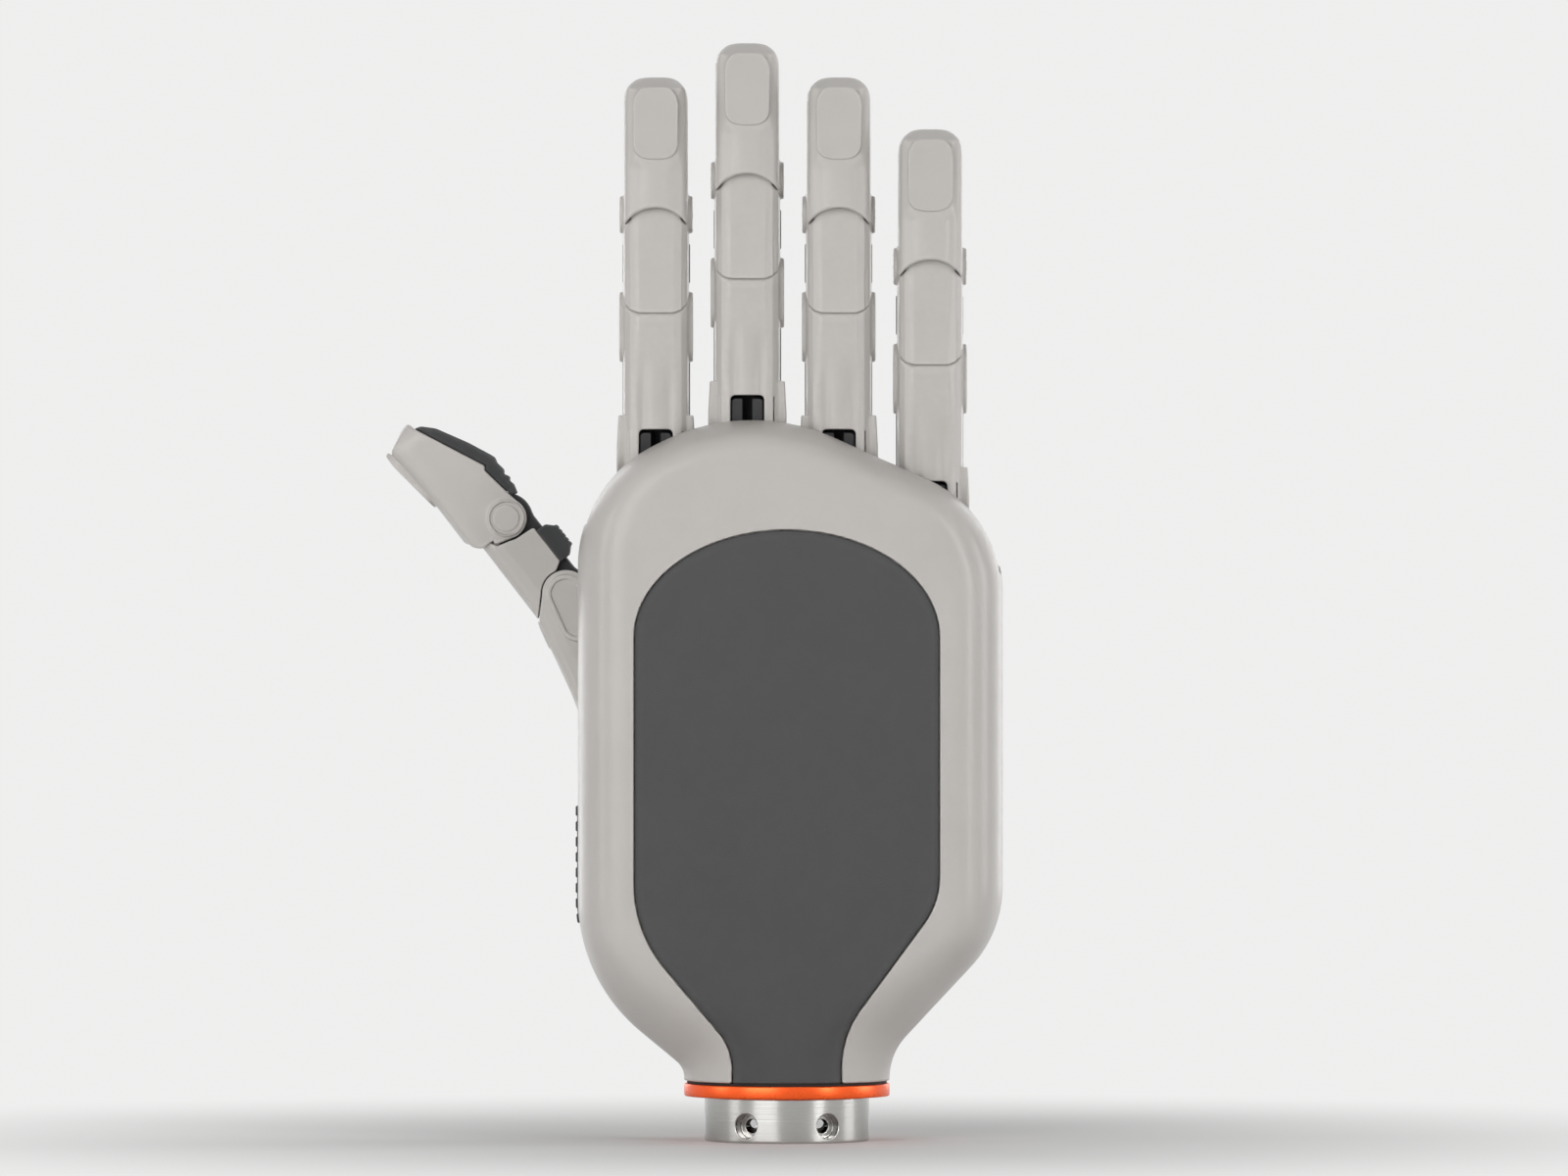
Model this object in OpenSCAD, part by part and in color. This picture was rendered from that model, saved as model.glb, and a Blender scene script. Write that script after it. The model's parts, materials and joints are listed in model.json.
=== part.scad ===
// Dexterous robot hand, right, back of the hand towards -Y, fingertips towards +Z.
// Origin: centre of the wrist collar's lower face. Millimetres.
// Every finger is built from the same three segments. A segment is drawn standing on its own
// joint axis: X across the finger, +Y towards the grip side, +Z towards the fingertip.

/* [Wrist] */
// Outer diameter of the wrist collar
collar_d = 40; // [38:0.5:42]
// Height of the wrist collar
collar_h = 10.9; // [9.5:0.1:12]
// Diameter of the socket in the collar
socket_d = 30; // [28:0.5:31]
// Diameter of each radial screw hole
screw_hole_d = 3.4; // [3:0.1:3.6]
// Diameter of the counterbore for each screw head
screw_head_d = 6; // [5.5:0.1:6.4]
// Depth of the counterbore
screw_head_depth = 3; // [2.4:0.1:3.2]
// Height of the screw holes above the collar's lower face
screw_z = 4.1; // [3.8:0.1:4.8]
// Diameter of the coloured ring
ring_d = 50; // [48:0.5:50]
// Height of the coloured ring
ring_h = 3.1; // [2.5:0.1:3.6]
// Thickness of the gasket between ring and palm
gasket_h = 0.7; // [0.5:0.1:1]

/* [Palm] */
// Distance from the centre line to the little-finger side
palm_right = 52.5; // [51.5:0.5:54]
// Distance from the centre line to the thumb side
palm_left = 50.8; // [50:0.5:52]
// Half the width of the neck where it meets the ring
neck_half = 25; // [24.5:0.1:25.2]
// Height of the back of the hand behind the finger plane
back_y = 24.7; // [24:0.1:26]
// Height of the palm face in front of the finger plane
face_y = 13; // [12.5:0.1:13.4]
// Wall thickness of the palm shells
palm_wall = 2; // [1.8:0.1:2.4]
// Position of the seam between back cover and palm shell
seam_y = -1; // [-2:0.5:0]
// Depth of the dark panel let into the back cover
panel_t = 1.4; // [1:0.1:1.5]
// Gap round the dark panel
panel_gap = 0.25; // [0.15:0.05:0.4]
// Thickness of the rubber palm pad
palm_pad_t = 1.2; // [1:0.1:1.3]

/* [Fingers] */
// Width of a finger
finger_w = 16; // [15.6:0.1:16.4]
// Knuckle axis to middle joint axis
prox_len = 34; // [33:0.5:38]
// Middle joint axis to end joint axis
mid_len = 23.5; // [23:0.5:26]
// End joint axis to fingertip
tip_len = 33.6; // [33:0.2:36]
// Height of the finger's back above the joint axes
finger_back = 9.3; // [9.1:0.1:9.4]
// Depth of the shells' grip-side edge below the joint axes
finger_edge = 3.9; // [3.6:0.1:4.2]
// Thickness of the side cheeks
cheek_t = 1.6; // [1.4:0.1:1.7]
// How far the joint bosses stand out
boss_out = 0.95; // [0.7:0.05:1]
// Diameter of the hinge pins
pin_d = 3; // [2.6:0.1:3.2]
// Radial clearance of a hinge pin in the part that turns on it
pin_clear = 0.06; // [0.03:0.01:0.08]
// Height of the grip pads in front of the joint axes
pad_y = 8.7; // [8.2:0.1:8.9]
// Depth of the grooves between the pad ribs
rib_depth = 0.7; // [0.5:0.1:0.9]

/* [Thumb] */
// Lean of the thumb's first segment away from the hand's long axis, in degrees
thumb_lean = 24; // [22:1:26]
// Backward bend of the thumb's middle joint at rest, in degrees
thumb_bend = 14.3; // [12:0.1:16]
// Distance of the thumb in front of the finger plane
thumb_y = 24; // [24:0.5:26]
// Tilt of the thumb's turning axis, in degrees
turn_tilt = 20; // [18:1:24]
// Diameter of the turning drum
drum_d = 18; // [17:0.5:18]

/* [Hidden] */
$fn = 48;
// [x of the joint, height of the knuckle axis] of the four fingers, from thumb side to little side
index_at = [-31.8, 0, 167.7];
middle_at = [-9.6, 0, 176];
ring_at = [12.6, 0, 167.7];
little_at = [34.8, 0, 155.1];
FINGERS = [index_at, middle_at, ring_at, little_at];
eps = 0.01;
far = 300;

shell_colour = [0.80, 0.78, 0.76];
dark_colour = [0.20, 0.20, 0.20];
panel_colour = [0.30, 0.30, 0.30];
core_colour = [0.13, 0.13, 0.13];

// Fits shared by all the finger joints
run_gap = 0.35;
seam_gap = 0.25;
half_w = finger_w / 2;
cheek_in = half_w - cheek_t;
tongue = cheek_in - run_gap;
pin_r = pin_d / 2;
heel_r = 6.5;
tongue_r = 6.3;
ear_r = 5.8;
tip_ear_r = 5;
dome_r = 9;
back_corner = 4.6;
knuckle_r = 6.2;
spread_drop = 14;
spread_pin_r = 2;
spread_boss_r = 4.4;
plate_y = 8.4;
plate_t = 2.5;

// ---------- shared 2D and 3D helpers ----------

// A [y, z] profile drawn out across the finger, w wide and centred
module across(w) {
    rotate([90, 0, 90]) linear_extrude(w, center = true) children();
}

// The same profile as two cheeks, between x0 and x1 on each side
module cheeks(x0, x1) {
    for (s = [-1, 1]) translate([s * (x0 + x1) / 2, 0, 0]) across(x1 - x0) children();
}

// An [x, z] outline drawn out through the hand from y0 to y1
module through(y0, y1) {
    translate([0, y1, 0]) rotate([90, 0, 0]) linear_extrude(y1 - y0) children();
}

// Pin or hole across the finger
module cross_pin(r, w) {
    rotate([0, 90, 0]) cylinder(h = w, r = r, center = true);
}

// Pin or hole from back to front
module upright(r, w) {
    rotate([90, 0, 0]) cylinder(h = w, r = r, center = true);
}

// Rectangle from (-w/2, y0) to (w/2, y1) whose two corners at y0 are round
module round_end(w, y0, y1, r) {
    translate([-w / 2, y0 + r]) square([w, y1 - y0 - r]);
    translate([-w / 2 + r, y0]) square([w - 2 * r, r + eps]);
    for (s = [-1, 1]) translate([s * (w / 2 - r), y0 + r]) circle(r);
}

// Rectangle with four round corners, centred in x, from y0 to y1
module round_rect(w, y0, y1, r) {
    translate([-w / 2, y0 + r]) square([w, y1 - y0 - 2 * r]);
    translate([-w / 2 + r, y0]) square([w - 2 * r, y1 - y0]);
    for (s = [-1, 1], y = [y0 + r, y1 - r]) translate([s * (w / 2 - r), y]) circle(r);
}

// Crest line of n ribs at height y from z0 to z1
function rib_line(z0, z1, y, n) = let (p = (z1 - z0) / n) [
    for (i = [0 : n - 1]) each [
        [y - rib_depth, z0 + i * p], [y, z0 + (i + 0.2) * p],
        [y, z0 + (i + 0.75) * p], [y - rib_depth, z0 + (i + 0.95) * p]
    ]
];

// Prism whose back corners are rounded as the finger shells are
module finger_prism(z0, z1, back = finger_back) {
    translate([0, 0, z0]) linear_extrude(z1 - z0) round_end(finger_w, -back, 20, back_corner);
}

// ---------- fingertip, on the end joint axis ----------

nail_z = [tip_len - 20.6, tip_len - 2.4];
nail_w = 11;
nail_corner = 3;
tip_side_pts = [
    [-12, -2.6], [-12, 1], [-11.8, nail_z[0]], [-12.6, tip_len - 6.4], [-12.2, tip_len - 3.9],
    [-11.9, tip_len - 3.3], [-6.1, tip_len - 0.4], [-4.6, tip_len], [-4.2, tip_len - 2.3],
    [finger_edge, 13.2], [3.1, 12.6], [4.2, 4.5], [4.9, 1], [0, 0], [-1.34, -4.82], [-9.4, -2.6]
];
nail_side_pts = [
    [-11, nail_z[0] - 1], [-12.25, nail_z[0] - 0.2], [-13.9, tip_len - 6.4], [-13.8, tip_len - 3.4],
    [-13.1, tip_len - 2.7], [-12.2, tip_len - 4.4], [-11, tip_len - 8]
];
tip_tilt = 4;
tip_corner = 6.7;
// Arch of the hem over the middle segment, seen from the back: crown and radius
hem_top = 1.4;
hem_r = 9;
knuckle_room_r = dome_r + 0.6;
boss_sink = 0.8;
pin_head_r = 2.9;

module tip_joint_room() {
    circle(tongue_r + run_gap);
    intersection() {
        circle(knuckle_room_r);
        translate([-20, -20]) square([20 + run_gap, 40]);
    }
}

module tip_shell() color(shell_colour) difference() {
    union() {
        intersection() {
            across(finger_w + 4) {
                polygon(tip_side_pts);
                circle(tip_ear_r);
            }
            rotate([tip_tilt, 0, 0]) translate([0, 0, -10]) linear_extrude(60)
                round_end(finger_w, -12.1, 20, back_corner);
            through(-20, 12) mirror([0, 1]) round_end(finger_w, -tip_len, 9, tip_corner);
        }
        nail();
        cross_pin(tip_ear_r - 0.6, finger_w + 2 * boss_out);
    }
    across(2 * cheek_in) tip_joint_room();
    through(-20, -tip_ear_r - 1) translate([0, hem_top - hem_r]) circle(hem_r);
    cross_pin(pin_r, far);
    cheeks(half_w + boss_out - boss_sink, half_w + 3) circle(pin_head_r + 0.1);
}

// Plate on the fingertip's back, with its lip over the tip
module nail() intersection() {
    across(nail_w) polygon(nail_side_pts);
    through(-20, 0) round_rect(nail_w, nail_z[0], nail_z[1], nail_corner);
}

// Pin with its two flush heads
module tip_pin() color(shell_colour) {
    cross_pin(pin_r, finger_w + 2 * (boss_out - boss_sink));
    cheeks(half_w + boss_out - boss_sink, half_w + boss_out - 0.1) circle(pin_head_r);
}

module tip_pad() color(dark_colour) difference() {
    intersection() {
        across(2 * far) polygon([
            [-4.2, tip_len - 2.3], [-2.5, tip_len - 2.9], [0.1, tip_len - 5.6], [4.1, tip_len - 13.1],
            [7.1, 13.6], [6.6, 12.2], [7, 9.9], [6.2, 9], [7.1, 7.6], [6.3, 6.9], [6.6, 5.6], [5.9, 3.2],
            [4.35, 3.6], [4.2, 4.5], [3.1, 12.6], [finger_edge, 13.2]
        ]);
        translate([0, 0, -5]) linear_extrude(50) mirror([0, 1]) round_end(finger_w - 1.2, -7.4, 10, 2.4);
        through(-20, 12) mirror([0, 1]) round_end(finger_w - 1.6, -tip_len + 1.2, 9, tip_corner - 1);
    }
    across(2 * cheek_in) circle(tongue_r + run_gap);
}

// ---------- middle segment, on the middle joint axis ----------

module mid_shell() color(shell_colour) difference() {
    intersection() {
        union() {
            cheeks(cheek_in, half_w + 1) mid_cheek();
            across(2 * cheek_in + eps) mid_roof();
            across(2 * tongue) mid_dome();
        }
        finger_prism(-5, mid_len + 12, finger_back + 0.1);
    }
    cross_pin(pin_r, 2 * cheek_in - 1);
}

// Ear of the first segment and its straight shoulder down to the back, o larger all round
shoulder_in = 0.05;
function shoulder_r(o) = ear_r - shoulder_in + o;
module shoulder(o) {
    r = shoulder_r(o);
    circle(ear_r + o);
    polygon([[-12, r * sqrt(2) - 12], [-r / sqrt(2), r / sqrt(2)], [0, 0], [0, -8], [-12, -8]]);
}

// Where the shoulder meets the back, with that much gap to the middle segment
function seam_z(o) = shoulder_r(o) * sqrt(2) - finger_back;
roof_z = seam_z(seam_gap);

// Side wall: cut round the first segment's shoulder below and the fingertip's ears above
module mid_cheek() difference() {
    polygon([
        [-finger_back - 0.1, roof_z], [-dome_r, mid_len - 3.1], [-1.3, mid_len - 5.3],
        [finger_edge, mid_len - 5.9], [finger_edge, 7.2], [0, 5], [-4, roof_z]
    ]);
    shoulder(seam_gap);
    translate([0, mid_len]) circle(tip_ear_r + run_gap + 0.1);
}

// Back plate between the cheeks
module mid_roof() polygon([
    [-finger_back - 0.1, roof_z], [-dome_r, mid_len - 3.1], [-7.4, mid_len - 3.1], [-7.4, roof_z]
]);

// Round knuckle that the fingertip's hem slides over
module mid_dome() difference() {
    union() {
        polygon([[-dome_r - 0.1, mid_len - 5], [-dome_r, mid_len], [-5, mid_len], [-5, mid_len - 5]]);
        intersection() {
            translate([0, mid_len]) circle(dome_r);
            translate([-20, mid_len - eps]) square([20, 20]);
        }
    }
    translate([0, mid_len]) circle(tongue_r + 0.1);
    translate([-6, mid_len - 10]) square([10, 10]);
}

module mid_core() color(core_colour) difference() {
    across(2 * tongue) {
        circle(heel_r);
        translate([0, mid_len]) circle(tongue_r);
        translate([-5.9, 0]) square([11.5, mid_len]);
    }
    for (z = [0, mid_len]) translate([0, 0, z]) cross_pin(pin_r + pin_clear, far);
}

module mid_pad() color(dark_colour) ribbed_pad(7, mid_len - 7, 5, 5.7);

// Ribbed pad from z0 to z1, bevelled at both ends, with a relief over the part it lies on
module ribbed_pad(z0, z1, n, under) difference() {
    intersection() {
        across(far) polygon(concat(
            [[finger_edge, z0], [6.6, z0 + 0.2]], rib_line(z0 + 1.6, z1 - 1.6, pad_y, n),
            [[6.6, z1 - 0.2], [finger_edge, z1]]));
        translate([0, 0, -5]) linear_extrude(60) mirror([0, 1]) round_end(finger_w + 0.4, -pad_y - 0.2, 5, 3);
    }
    translate([-cheek_in, 0, 0]) cube([2 * cheek_in, under, 60]);
}

// ---------- first segment, on the knuckle axis ----------

notch_w = 8.2;
notch_top = 5.2;
wing_w = 9.4;
wing_r = 6.8;
wing_top = 8.8;
stadium_len = 17;
stadium_r = 4.7;

// bend is the angle at which the middle joint stands bent backward at rest
module proximal_shell(bend = 0) color(shell_colour) difference() {
    union() {
        intersection() {
            union() {
                across(finger_w + 4) proximal_side(bend);
                cheeks(cheek_in, half_w + 1) at_bend(bend) shoulder(0);
            }
            finger_prism(-12, prox_len + ear_r + 1);
        }
        cheeks(half_w - 0.5, half_w + boss_out) stadium(stadium_r);
        wings();
    }
    // room for the heel of the middle segment
    across(2 * cheek_in) translate([0, prox_len]) circle(heel_r + run_gap);
    // room for the knuckle, and the notch that shows it
    across(2 * cheek_in) {
        circle(knuckle_r + run_gap);
        translate([-7.7, -14]) square([20, 14]);
        translate([-7.7, -1]) square([7.7, 5.8]);
    }
    through(-20, 0) round_rect(notch_w, -20, notch_top, 1.2);
    for (z = [0, prox_len]) translate([0, 0, z]) cross_pin(pin_r, far);
    cheeks(half_w + boss_out - 0.3, half_w + 3) stadium(stadium_r - 1.1);
}

// Side view turned about the far pin, to the line of the segment beyond it
module at_bend(bend) translate([0, prox_len]) rotate(bend) children();

module proximal_side(bend) difference() {
    intersection() {
        polygon([
            [-finger_back, prox_len + seam_z(0)], [-finger_back + 0.35, 20], [-finger_back + 0.5, 11],
            [-finger_back, 2], [-finger_back, -6], [-7, -6.4], [-4, 2], [2, 5], [finger_edge, 7.3],
            [finger_edge, prox_len - 6], [0, prox_len + seam_z(0)]
        ]);
        union() {
            circle(finger_back + 0.3);
            translate([-20, 0]) square([40, prox_len]);
        }
    }
    if (bend != 0) at_bend(bend) translate([-20, seam_z(0)]) square(20);
}

// Long boss that runs down each side from the middle joint
module stadium(r) {
    translate([0, prox_len]) circle(r);
    translate([0, prox_len - stadium_len + 2 * stadium_r]) circle(r);
    translate([-r, prox_len - stadium_len + 2 * stadium_r]) square([2 * r, stadium_len - 2 * stadium_r]);
}

// Ears at the knuckle, flaring a little towards the palm
module wings() intersection() {
    cheeks(cheek_in, wing_w + 1) {
        circle(wing_r);
        translate([-wing_r, 0]) square([wing_r + finger_edge, wing_top]);
    }
    through(-20, 20) polygon([
        [-half_w - 1.1, wing_top], [half_w + 1.1, wing_top], [wing_w + 0.1, 1], [wing_w + 0.2, -10],
        [-wing_w - 0.2, -10], [-wing_w - 0.1, 1]
    ]);
}

module proximal_pad() color(dark_colour) difference() {
    ribbed_pad(7.4, prox_len - 7, 8, 5);
    cheeks(half_w - 0.6, half_w + 3) stadium(stadium_r + 0.15);
}

// Knuckle pin and middle joint pin
module proximal_pins() color(core_colour) {
    cross_pin(pin_r, 2 * half_w + 2);
    translate([0, 0, prox_len]) cross_pin(pin_r, finger_w + 1);
}

stem_w = 10;
stem_d = 12.2;
stem_len = 20;
cable_slot_w = 2.3;
// Block that carries the first segment; it turns sideways on a pin in the chassis
module knuckle() color(core_colour) difference() {
    union() {
        cross_pin(knuckle_r, 2 * tongue);
        translate([-stem_w / 2, -stem_d / 2, -stem_len]) cube([stem_w, stem_d, stem_len]);
        through(-8, 0) round_rect(notch_w - 0.5, -9, notch_top - 0.8, 0.8);
        translate([0, 0, -spread_drop]) upright(spread_boss_r, 2 * (plate_y - run_gap));
    }
    translate([-cable_slot_w / 2, -9, -8]) cube([cable_slot_w, 6, 20]);
    cross_pin(pin_r + pin_clear, far);
    translate([0, 0, -spread_drop]) upright(spread_pin_r + pin_clear, far);
}

// ---------- palm outline ----------

neck_z = collar_h + ring_h + gasket_h;
top_vertex = [-9.6, neck_z + 166.1];
top_r = 49;
// Corners of the palm's outline from the neck up, as [x, z, radius]
right_corners = [[neck_half, neck_z + 6.4, 15], [palm_right, neck_z + 35.9, 29],
    [palm_right, neck_z + 138.3, 30]];
left_corners = [[-neck_half, neck_z + 3.1, 5], [-palm_left, neck_z + 24.4, 42],
    [-palm_left, neck_z + 145.5, 33]];

function dir(a) = [cos(a), sin(a)];
function heading(p, q) = atan2(q[1] - p[1], q[0] - p[0]);
function xz(v) = [v[0], v[1]];

// Turn from heading a to heading b, the short way round
function turn_of(a, b) = let (d = b - a) d > 180 ? d - 360 : d < -180 ? d + 360 : d;

// Points [x, z, heading] along the arc that rounds corner v between p and q; part is the share used
function corner(p, v, q, r, n, part = 1) = let (
        a = heading(p, v), turn = turn_of(a, heading(v, q)), s = sign(turn),
        c = xz(v) - r * tan(abs(turn) / 2) * dir(a) + s * r * dir(a + 90)
    ) [for (i = [0 : n]) let (h = a + turn * part * i / n, k = c - s * r * dir(h + 90)) [k[0], k[1], h]];

// One side of the palm's outline, from the neck to the top, where it runs level
function side_line(c, other, n = 6) = let (foot = [c[0][0], neck_z], a = heading(c[2], top_vertex),
        share = ((a > 90 ? 180 : 0) - a) / turn_of(a, heading(top_vertex, other[2]))) concat(
    [[foot[0], foot[1], 90]],
    corner(foot, c[0], c[1], c[0][2], n),
    corner(c[0], c[1], c[2], c[1][2], n),
    corner(c[1], c[2], top_vertex, c[2][2], n),
    corner(c[2], top_vertex, other[2], top_r, n, share)
);
right_line = side_line(right_corners, left_corners);
left_line = side_line(left_corners, right_corners);
stations = len(left_line);

// ---------- palm skins ----------

// 1 at the neck, 0 from the heel of the palm upwards
neck_run = 38;
function neck_share(z) = let (t = min(1, max(0, (z - neck_z) / neck_run))) 1 - t * t * (3 - 2 * t);
function blend_to(a, b, t) = a + (b - a) * t;
// 1 along the top edge over the knuckles
function top_share(z) = let (t = min(1, max(0, (z - neck_z - 125) / 25))) t * t * (3 - 2 * t);

edge_in = 13;
top_edge_in = 10;
steps = 6;
function inset_at(z) = blend_to(blend_to(edge_in, top_edge_in, top_share(z)), neck_half - 0.8, neck_share(z));
function roundness(z) = blend_to(0.8, 1, neck_share(z));
back_depth = back_y + seam_y;
function face_depth(z) = blend_to(face_y, neck_half - 0.3, neck_share(z)) - seam_y;

// Point k of the quarter round at outline point p, at depth o under the outer surface.
// s is 1 on the right side and -1 on the left; f is -1 for the back and 1 for the palm face.
function skin_point(p, s, o, k, f) = let (
        t = 90 * k / steps, e = roundness(p[1]), n = dir(p[2] + 90 * s),
        in = o + (inset_at(p[1]) - o) * (1 - pow(cos(t), e)), z = p[1] + n[1] * in,
        depth = (f < 0 ? back_depth : face_depth(z)) - o
    ) [p[0] + n[0] * in, seam_y + f * depth * pow(sin(t), e), z];

// Closed loop round the wall between depths o and i at station j
function skin_loop(j, o, i, f) = let (
        l = left_line[j], last = j == stations - 1, r = last ? l : right_line[j], s = last ? -1 : 1
    ) concat(
    [for (k = [0 : steps]) skin_point(l, -1, o, k, f)],
    [for (k = [steps : -1 : 0]) skin_point(r, s, o, k, f)],
    [for (k = [0 : steps]) skin_point(r, s, i, k, f)],
    [for (k = [steps : -1 : 0]) skin_point(l, -1, i, k, f)]
);

function reversed(v) = [for (k = [len(v) - 1 : -1 : 0]) v[k]];

// Wall that follows the palm's outer surface between depths o and i
module skin(o, i, f) {
    m = 4 * (steps + 1);
    loops = [for (j = [0 : stations - 1]) each skin_loop(j, o, i, f)];
    walls = [for (j = [0 : stations - 2], k = [0 : m - 1]) let (
            a = j * m + k, b = j * m + (k + 1) % m, c = a + m, d = b + m
        ) each norm(loops[c] - loops[d]) < eps ? [[a, b, c]] : [[a, b, d], [a, d, c]]];
    foot = [reversed([for (k = [0 : m - 1]) k])];
    faces = concat(walls, foot);
    polyhedron(loops, f > 0 ? faces : [for (q = faces) reversed(q)], convexity = 6);
}

// ---------- palm assembly ----------

visor_y = -10.4;
// Line above which the cover keeps only its visor over the knuckles: height at each side
visor_left_z = neck_z + 139;
visor_right_z = neck_z + 128;
knuckle_clear = 13.7;

// Dark panel: half widths at the foot and the side, and the half ellipse over its top
panel_foot = 13.3;
panel_side = 37;
panel_arch = 26;
panel_shoulder = neck_z + 107.8;
function panel_line() = let (
        foot = neck_z - 5,
        r = [[panel_foot, foot], [panel_foot, neck_z + 11.6, 24], [panel_side, neck_z + 43.7, 20],
            [panel_side, panel_shoulder]],
        l = [[-panel_side, panel_shoulder], [-panel_side, neck_z + 36.6, 32], [-panel_foot, neck_z + 8.4, 14],
            [-panel_foot, foot]]
    ) concat([r[0]], corner(r[0], r[1], r[2], r[1][2], 6), corner(r[1], r[2], r[3], r[2][2], 6),
    [for (a = [0 : 12 : 180]) [panel_side * cos(a), panel_shoulder + panel_arch * sin(a)]],
    corner(l[0], l[1], l[2], l[1][2], 6), corner(l[1], l[2], l[3], l[2][2], 6), [l[3]]);

module panel_outline() polygon([for (q = panel_line()) xz(q)]);

module back_cover() color(shell_colour) difference() {
    skin(0, palm_wall, -1);
    through(visor_y, 20) polygon([
        [-80, visor_left_z], [80, visor_right_z - 8], [80, far], [-80, far]
    ]);
    intersection() {
        skin(-1, panel_t, -1);
        through(-60, -8) panel_outline();
    }
}

module back_panel() color(panel_colour) intersection() {
    skin(0.1, panel_t, -1);
    through(-60, -8) offset(delta = -panel_gap) panel_outline();
    translate([-100, -100, neck_z]) cube([200, 200, far]);
}

// Upper edge of the palm shell, below the swing of the grip pads
module palm_top_room() {
    z = [for (f = FINGERS) f[2] - knuckle_clear];
    x = [for (f = FINGERS) f[0]];
    polygon([
        [-90, z[0] - 5], [x[0] - 9, z[0] - 5], [x[0] - 4, z[0]], [x[0] + 9, z[0]],
        [x[1] - 8, z[1]], [x[1] + 8, z[1]], [x[2] - 9, z[2]], [x[2] + 7, z[2]],
        [x[3] - 8, z[3]], [x[3] + 9, z[3]], [90, z[3] - 8], [90, far], [-90, far]
    ]);
}

module palm_shell() color(shell_colour) difference() {
    translate([0, run_gap, 0]) skin(0, palm_wall, 1);
    through(-20, 60) palm_top_room();
}

face_front = face_y + run_gap;

// Ribbed rubber pad on the palm face and a ribbed grip round the thumb-side edge
module palm_pad() color(dark_colour) {
    face_pad();
    edge_grip();
}

pad_x = [-6, 38];
pad_z = [neck_z + 50, neck_z + 118];
module face_pad() intersection() {
    translate([(pad_x[0] + pad_x[1]) / 2, 0, 0]) across(pad_x[1] - pad_x[0] + 20) polygon(concat(
        [[face_front, pad_z[0] - 1]],
        [for (p = rib_line(pad_z[0], pad_z[1], face_front + palm_pad_t, 17)) p],
        [[face_front, pad_z[1] + 1]]));
    translate([(pad_x[0] + pad_x[1]) / 2, 0, 0])
        through(0, 60) round_rect(pad_x[1] - pad_x[0], pad_z[0], pad_z[1], 9);
}

grip_z = [neck_z + 38, neck_z + 68];
grip_n = 8;
function grip_arc(o) = [for (k = [1 : 4]) let (q = skin_point([-palm_left, grip_z[0], 90], -1, -o, k, 1))
    [q[0], q[1] + run_gap]];
module edge_grip() {
    p = (grip_z[1] - grip_z[0]) / grip_n;
    inner = grip_arc(0.05);
    for (i = [0 : grip_n - 1]) translate([0, 0, grip_z[0] + i * p]) linear_extrude(p * 0.65)
        polygon(concat(inner, reversed(grip_arc(0.65))));
    translate([0, 0, grip_z[0]]) linear_extrude(grip_z[1] - grip_z[0] - p * 0.35)
        polygon(concat(inner, reversed(grip_arc(0.25))));
}

// ---------- chassis ----------

deck_z = neck_z + 84;
deck_t = 4;
deck_y = [-19, 9];
rail_x = 34;
rail_w = 6;
rail_d = 8;
rail_z = [neck_z + 25, neck_z + 114];
beam_t = 5;
flange_t = 3;
spine_r = 12;
spine_wall = 2;
post_r = 3;
post_z = [neck_z + 50, neck_z + 108];
chassis_x = rail_x + rail_w / 2;

// Strips that carry the sideways pins of the knuckles, seen from the back
module knuckle_plate() {
    foot = rail_z[1] - 12;
    for (f = FINGERS) {
        translate([f[0], f[2] - spread_drop]) circle(spread_boss_r + 0.1);
        translate([f[0] - spread_boss_r, foot]) square([2 * spread_boss_r, f[2] - spread_drop - foot]);
    }
    translate([-chassis_x, foot]) square([2 * chassis_x, 12]);
}

// Block right across the chassis, from y0 to y1
module crosspiece(y0, y1, z, t) translate([-chassis_x, y0, z]) cube([2 * chassis_x, y1 - y0, t]);

module chassis() color(core_colour) {
    difference() {
        union() {
            through(-plate_y - plate_t, -plate_y) knuckle_plate();
            through(plate_y, plate_y + plate_t) knuckle_plate();
            crosspiece(-plate_y - plate_t, plate_y + plate_t, rail_z[1] - 12, 6);
            crosspiece(deck_y[0], deck_y[1], deck_z, deck_t);
            crosspiece(-rail_d / 2, rail_d / 2, rail_z[0], beam_t);
            for (s = [-1, 1]) translate([s * rail_x - rail_w / 2, -rail_d / 2, rail_z[0]])
                cube([rail_w, rail_d, rail_z[1] - rail_z[0]]);
            translate([0, 0, neck_z]) cylinder(h = rail_z[0] - neck_z + 2, r = spine_r);
            translate([0, 0, neck_z]) cylinder(h = flange_t, r = neck_half - palm_wall - 1.2);
            for (s = [-1, 1], z = post_z) translate([s * rail_x, -back_y + palm_wall, z]) rotate([-90, 0, 0])
                cylinder(h = back_y + face_front - 2 * palm_wall, r = post_r);
        }
        translate([0, 0, neck_z - 1]) cylinder(h = rail_z[0] - neck_z - 1, r = spine_r - spine_wall);
    }
    for (f = FINGERS) translate([f[0], 0, f[2] - spread_drop])
        upright(spread_pin_r + (f == middle_at ? pin_clear : 0), 2 * plate_y + plate_t);
}

motor_r = 4.8;
motor_h = 30;
motor_gap = 0.7;
motor_y = [-13, 3];
motor_count = 6;
shaft_r = 1.6;
shaft_h = 2.5;
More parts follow.
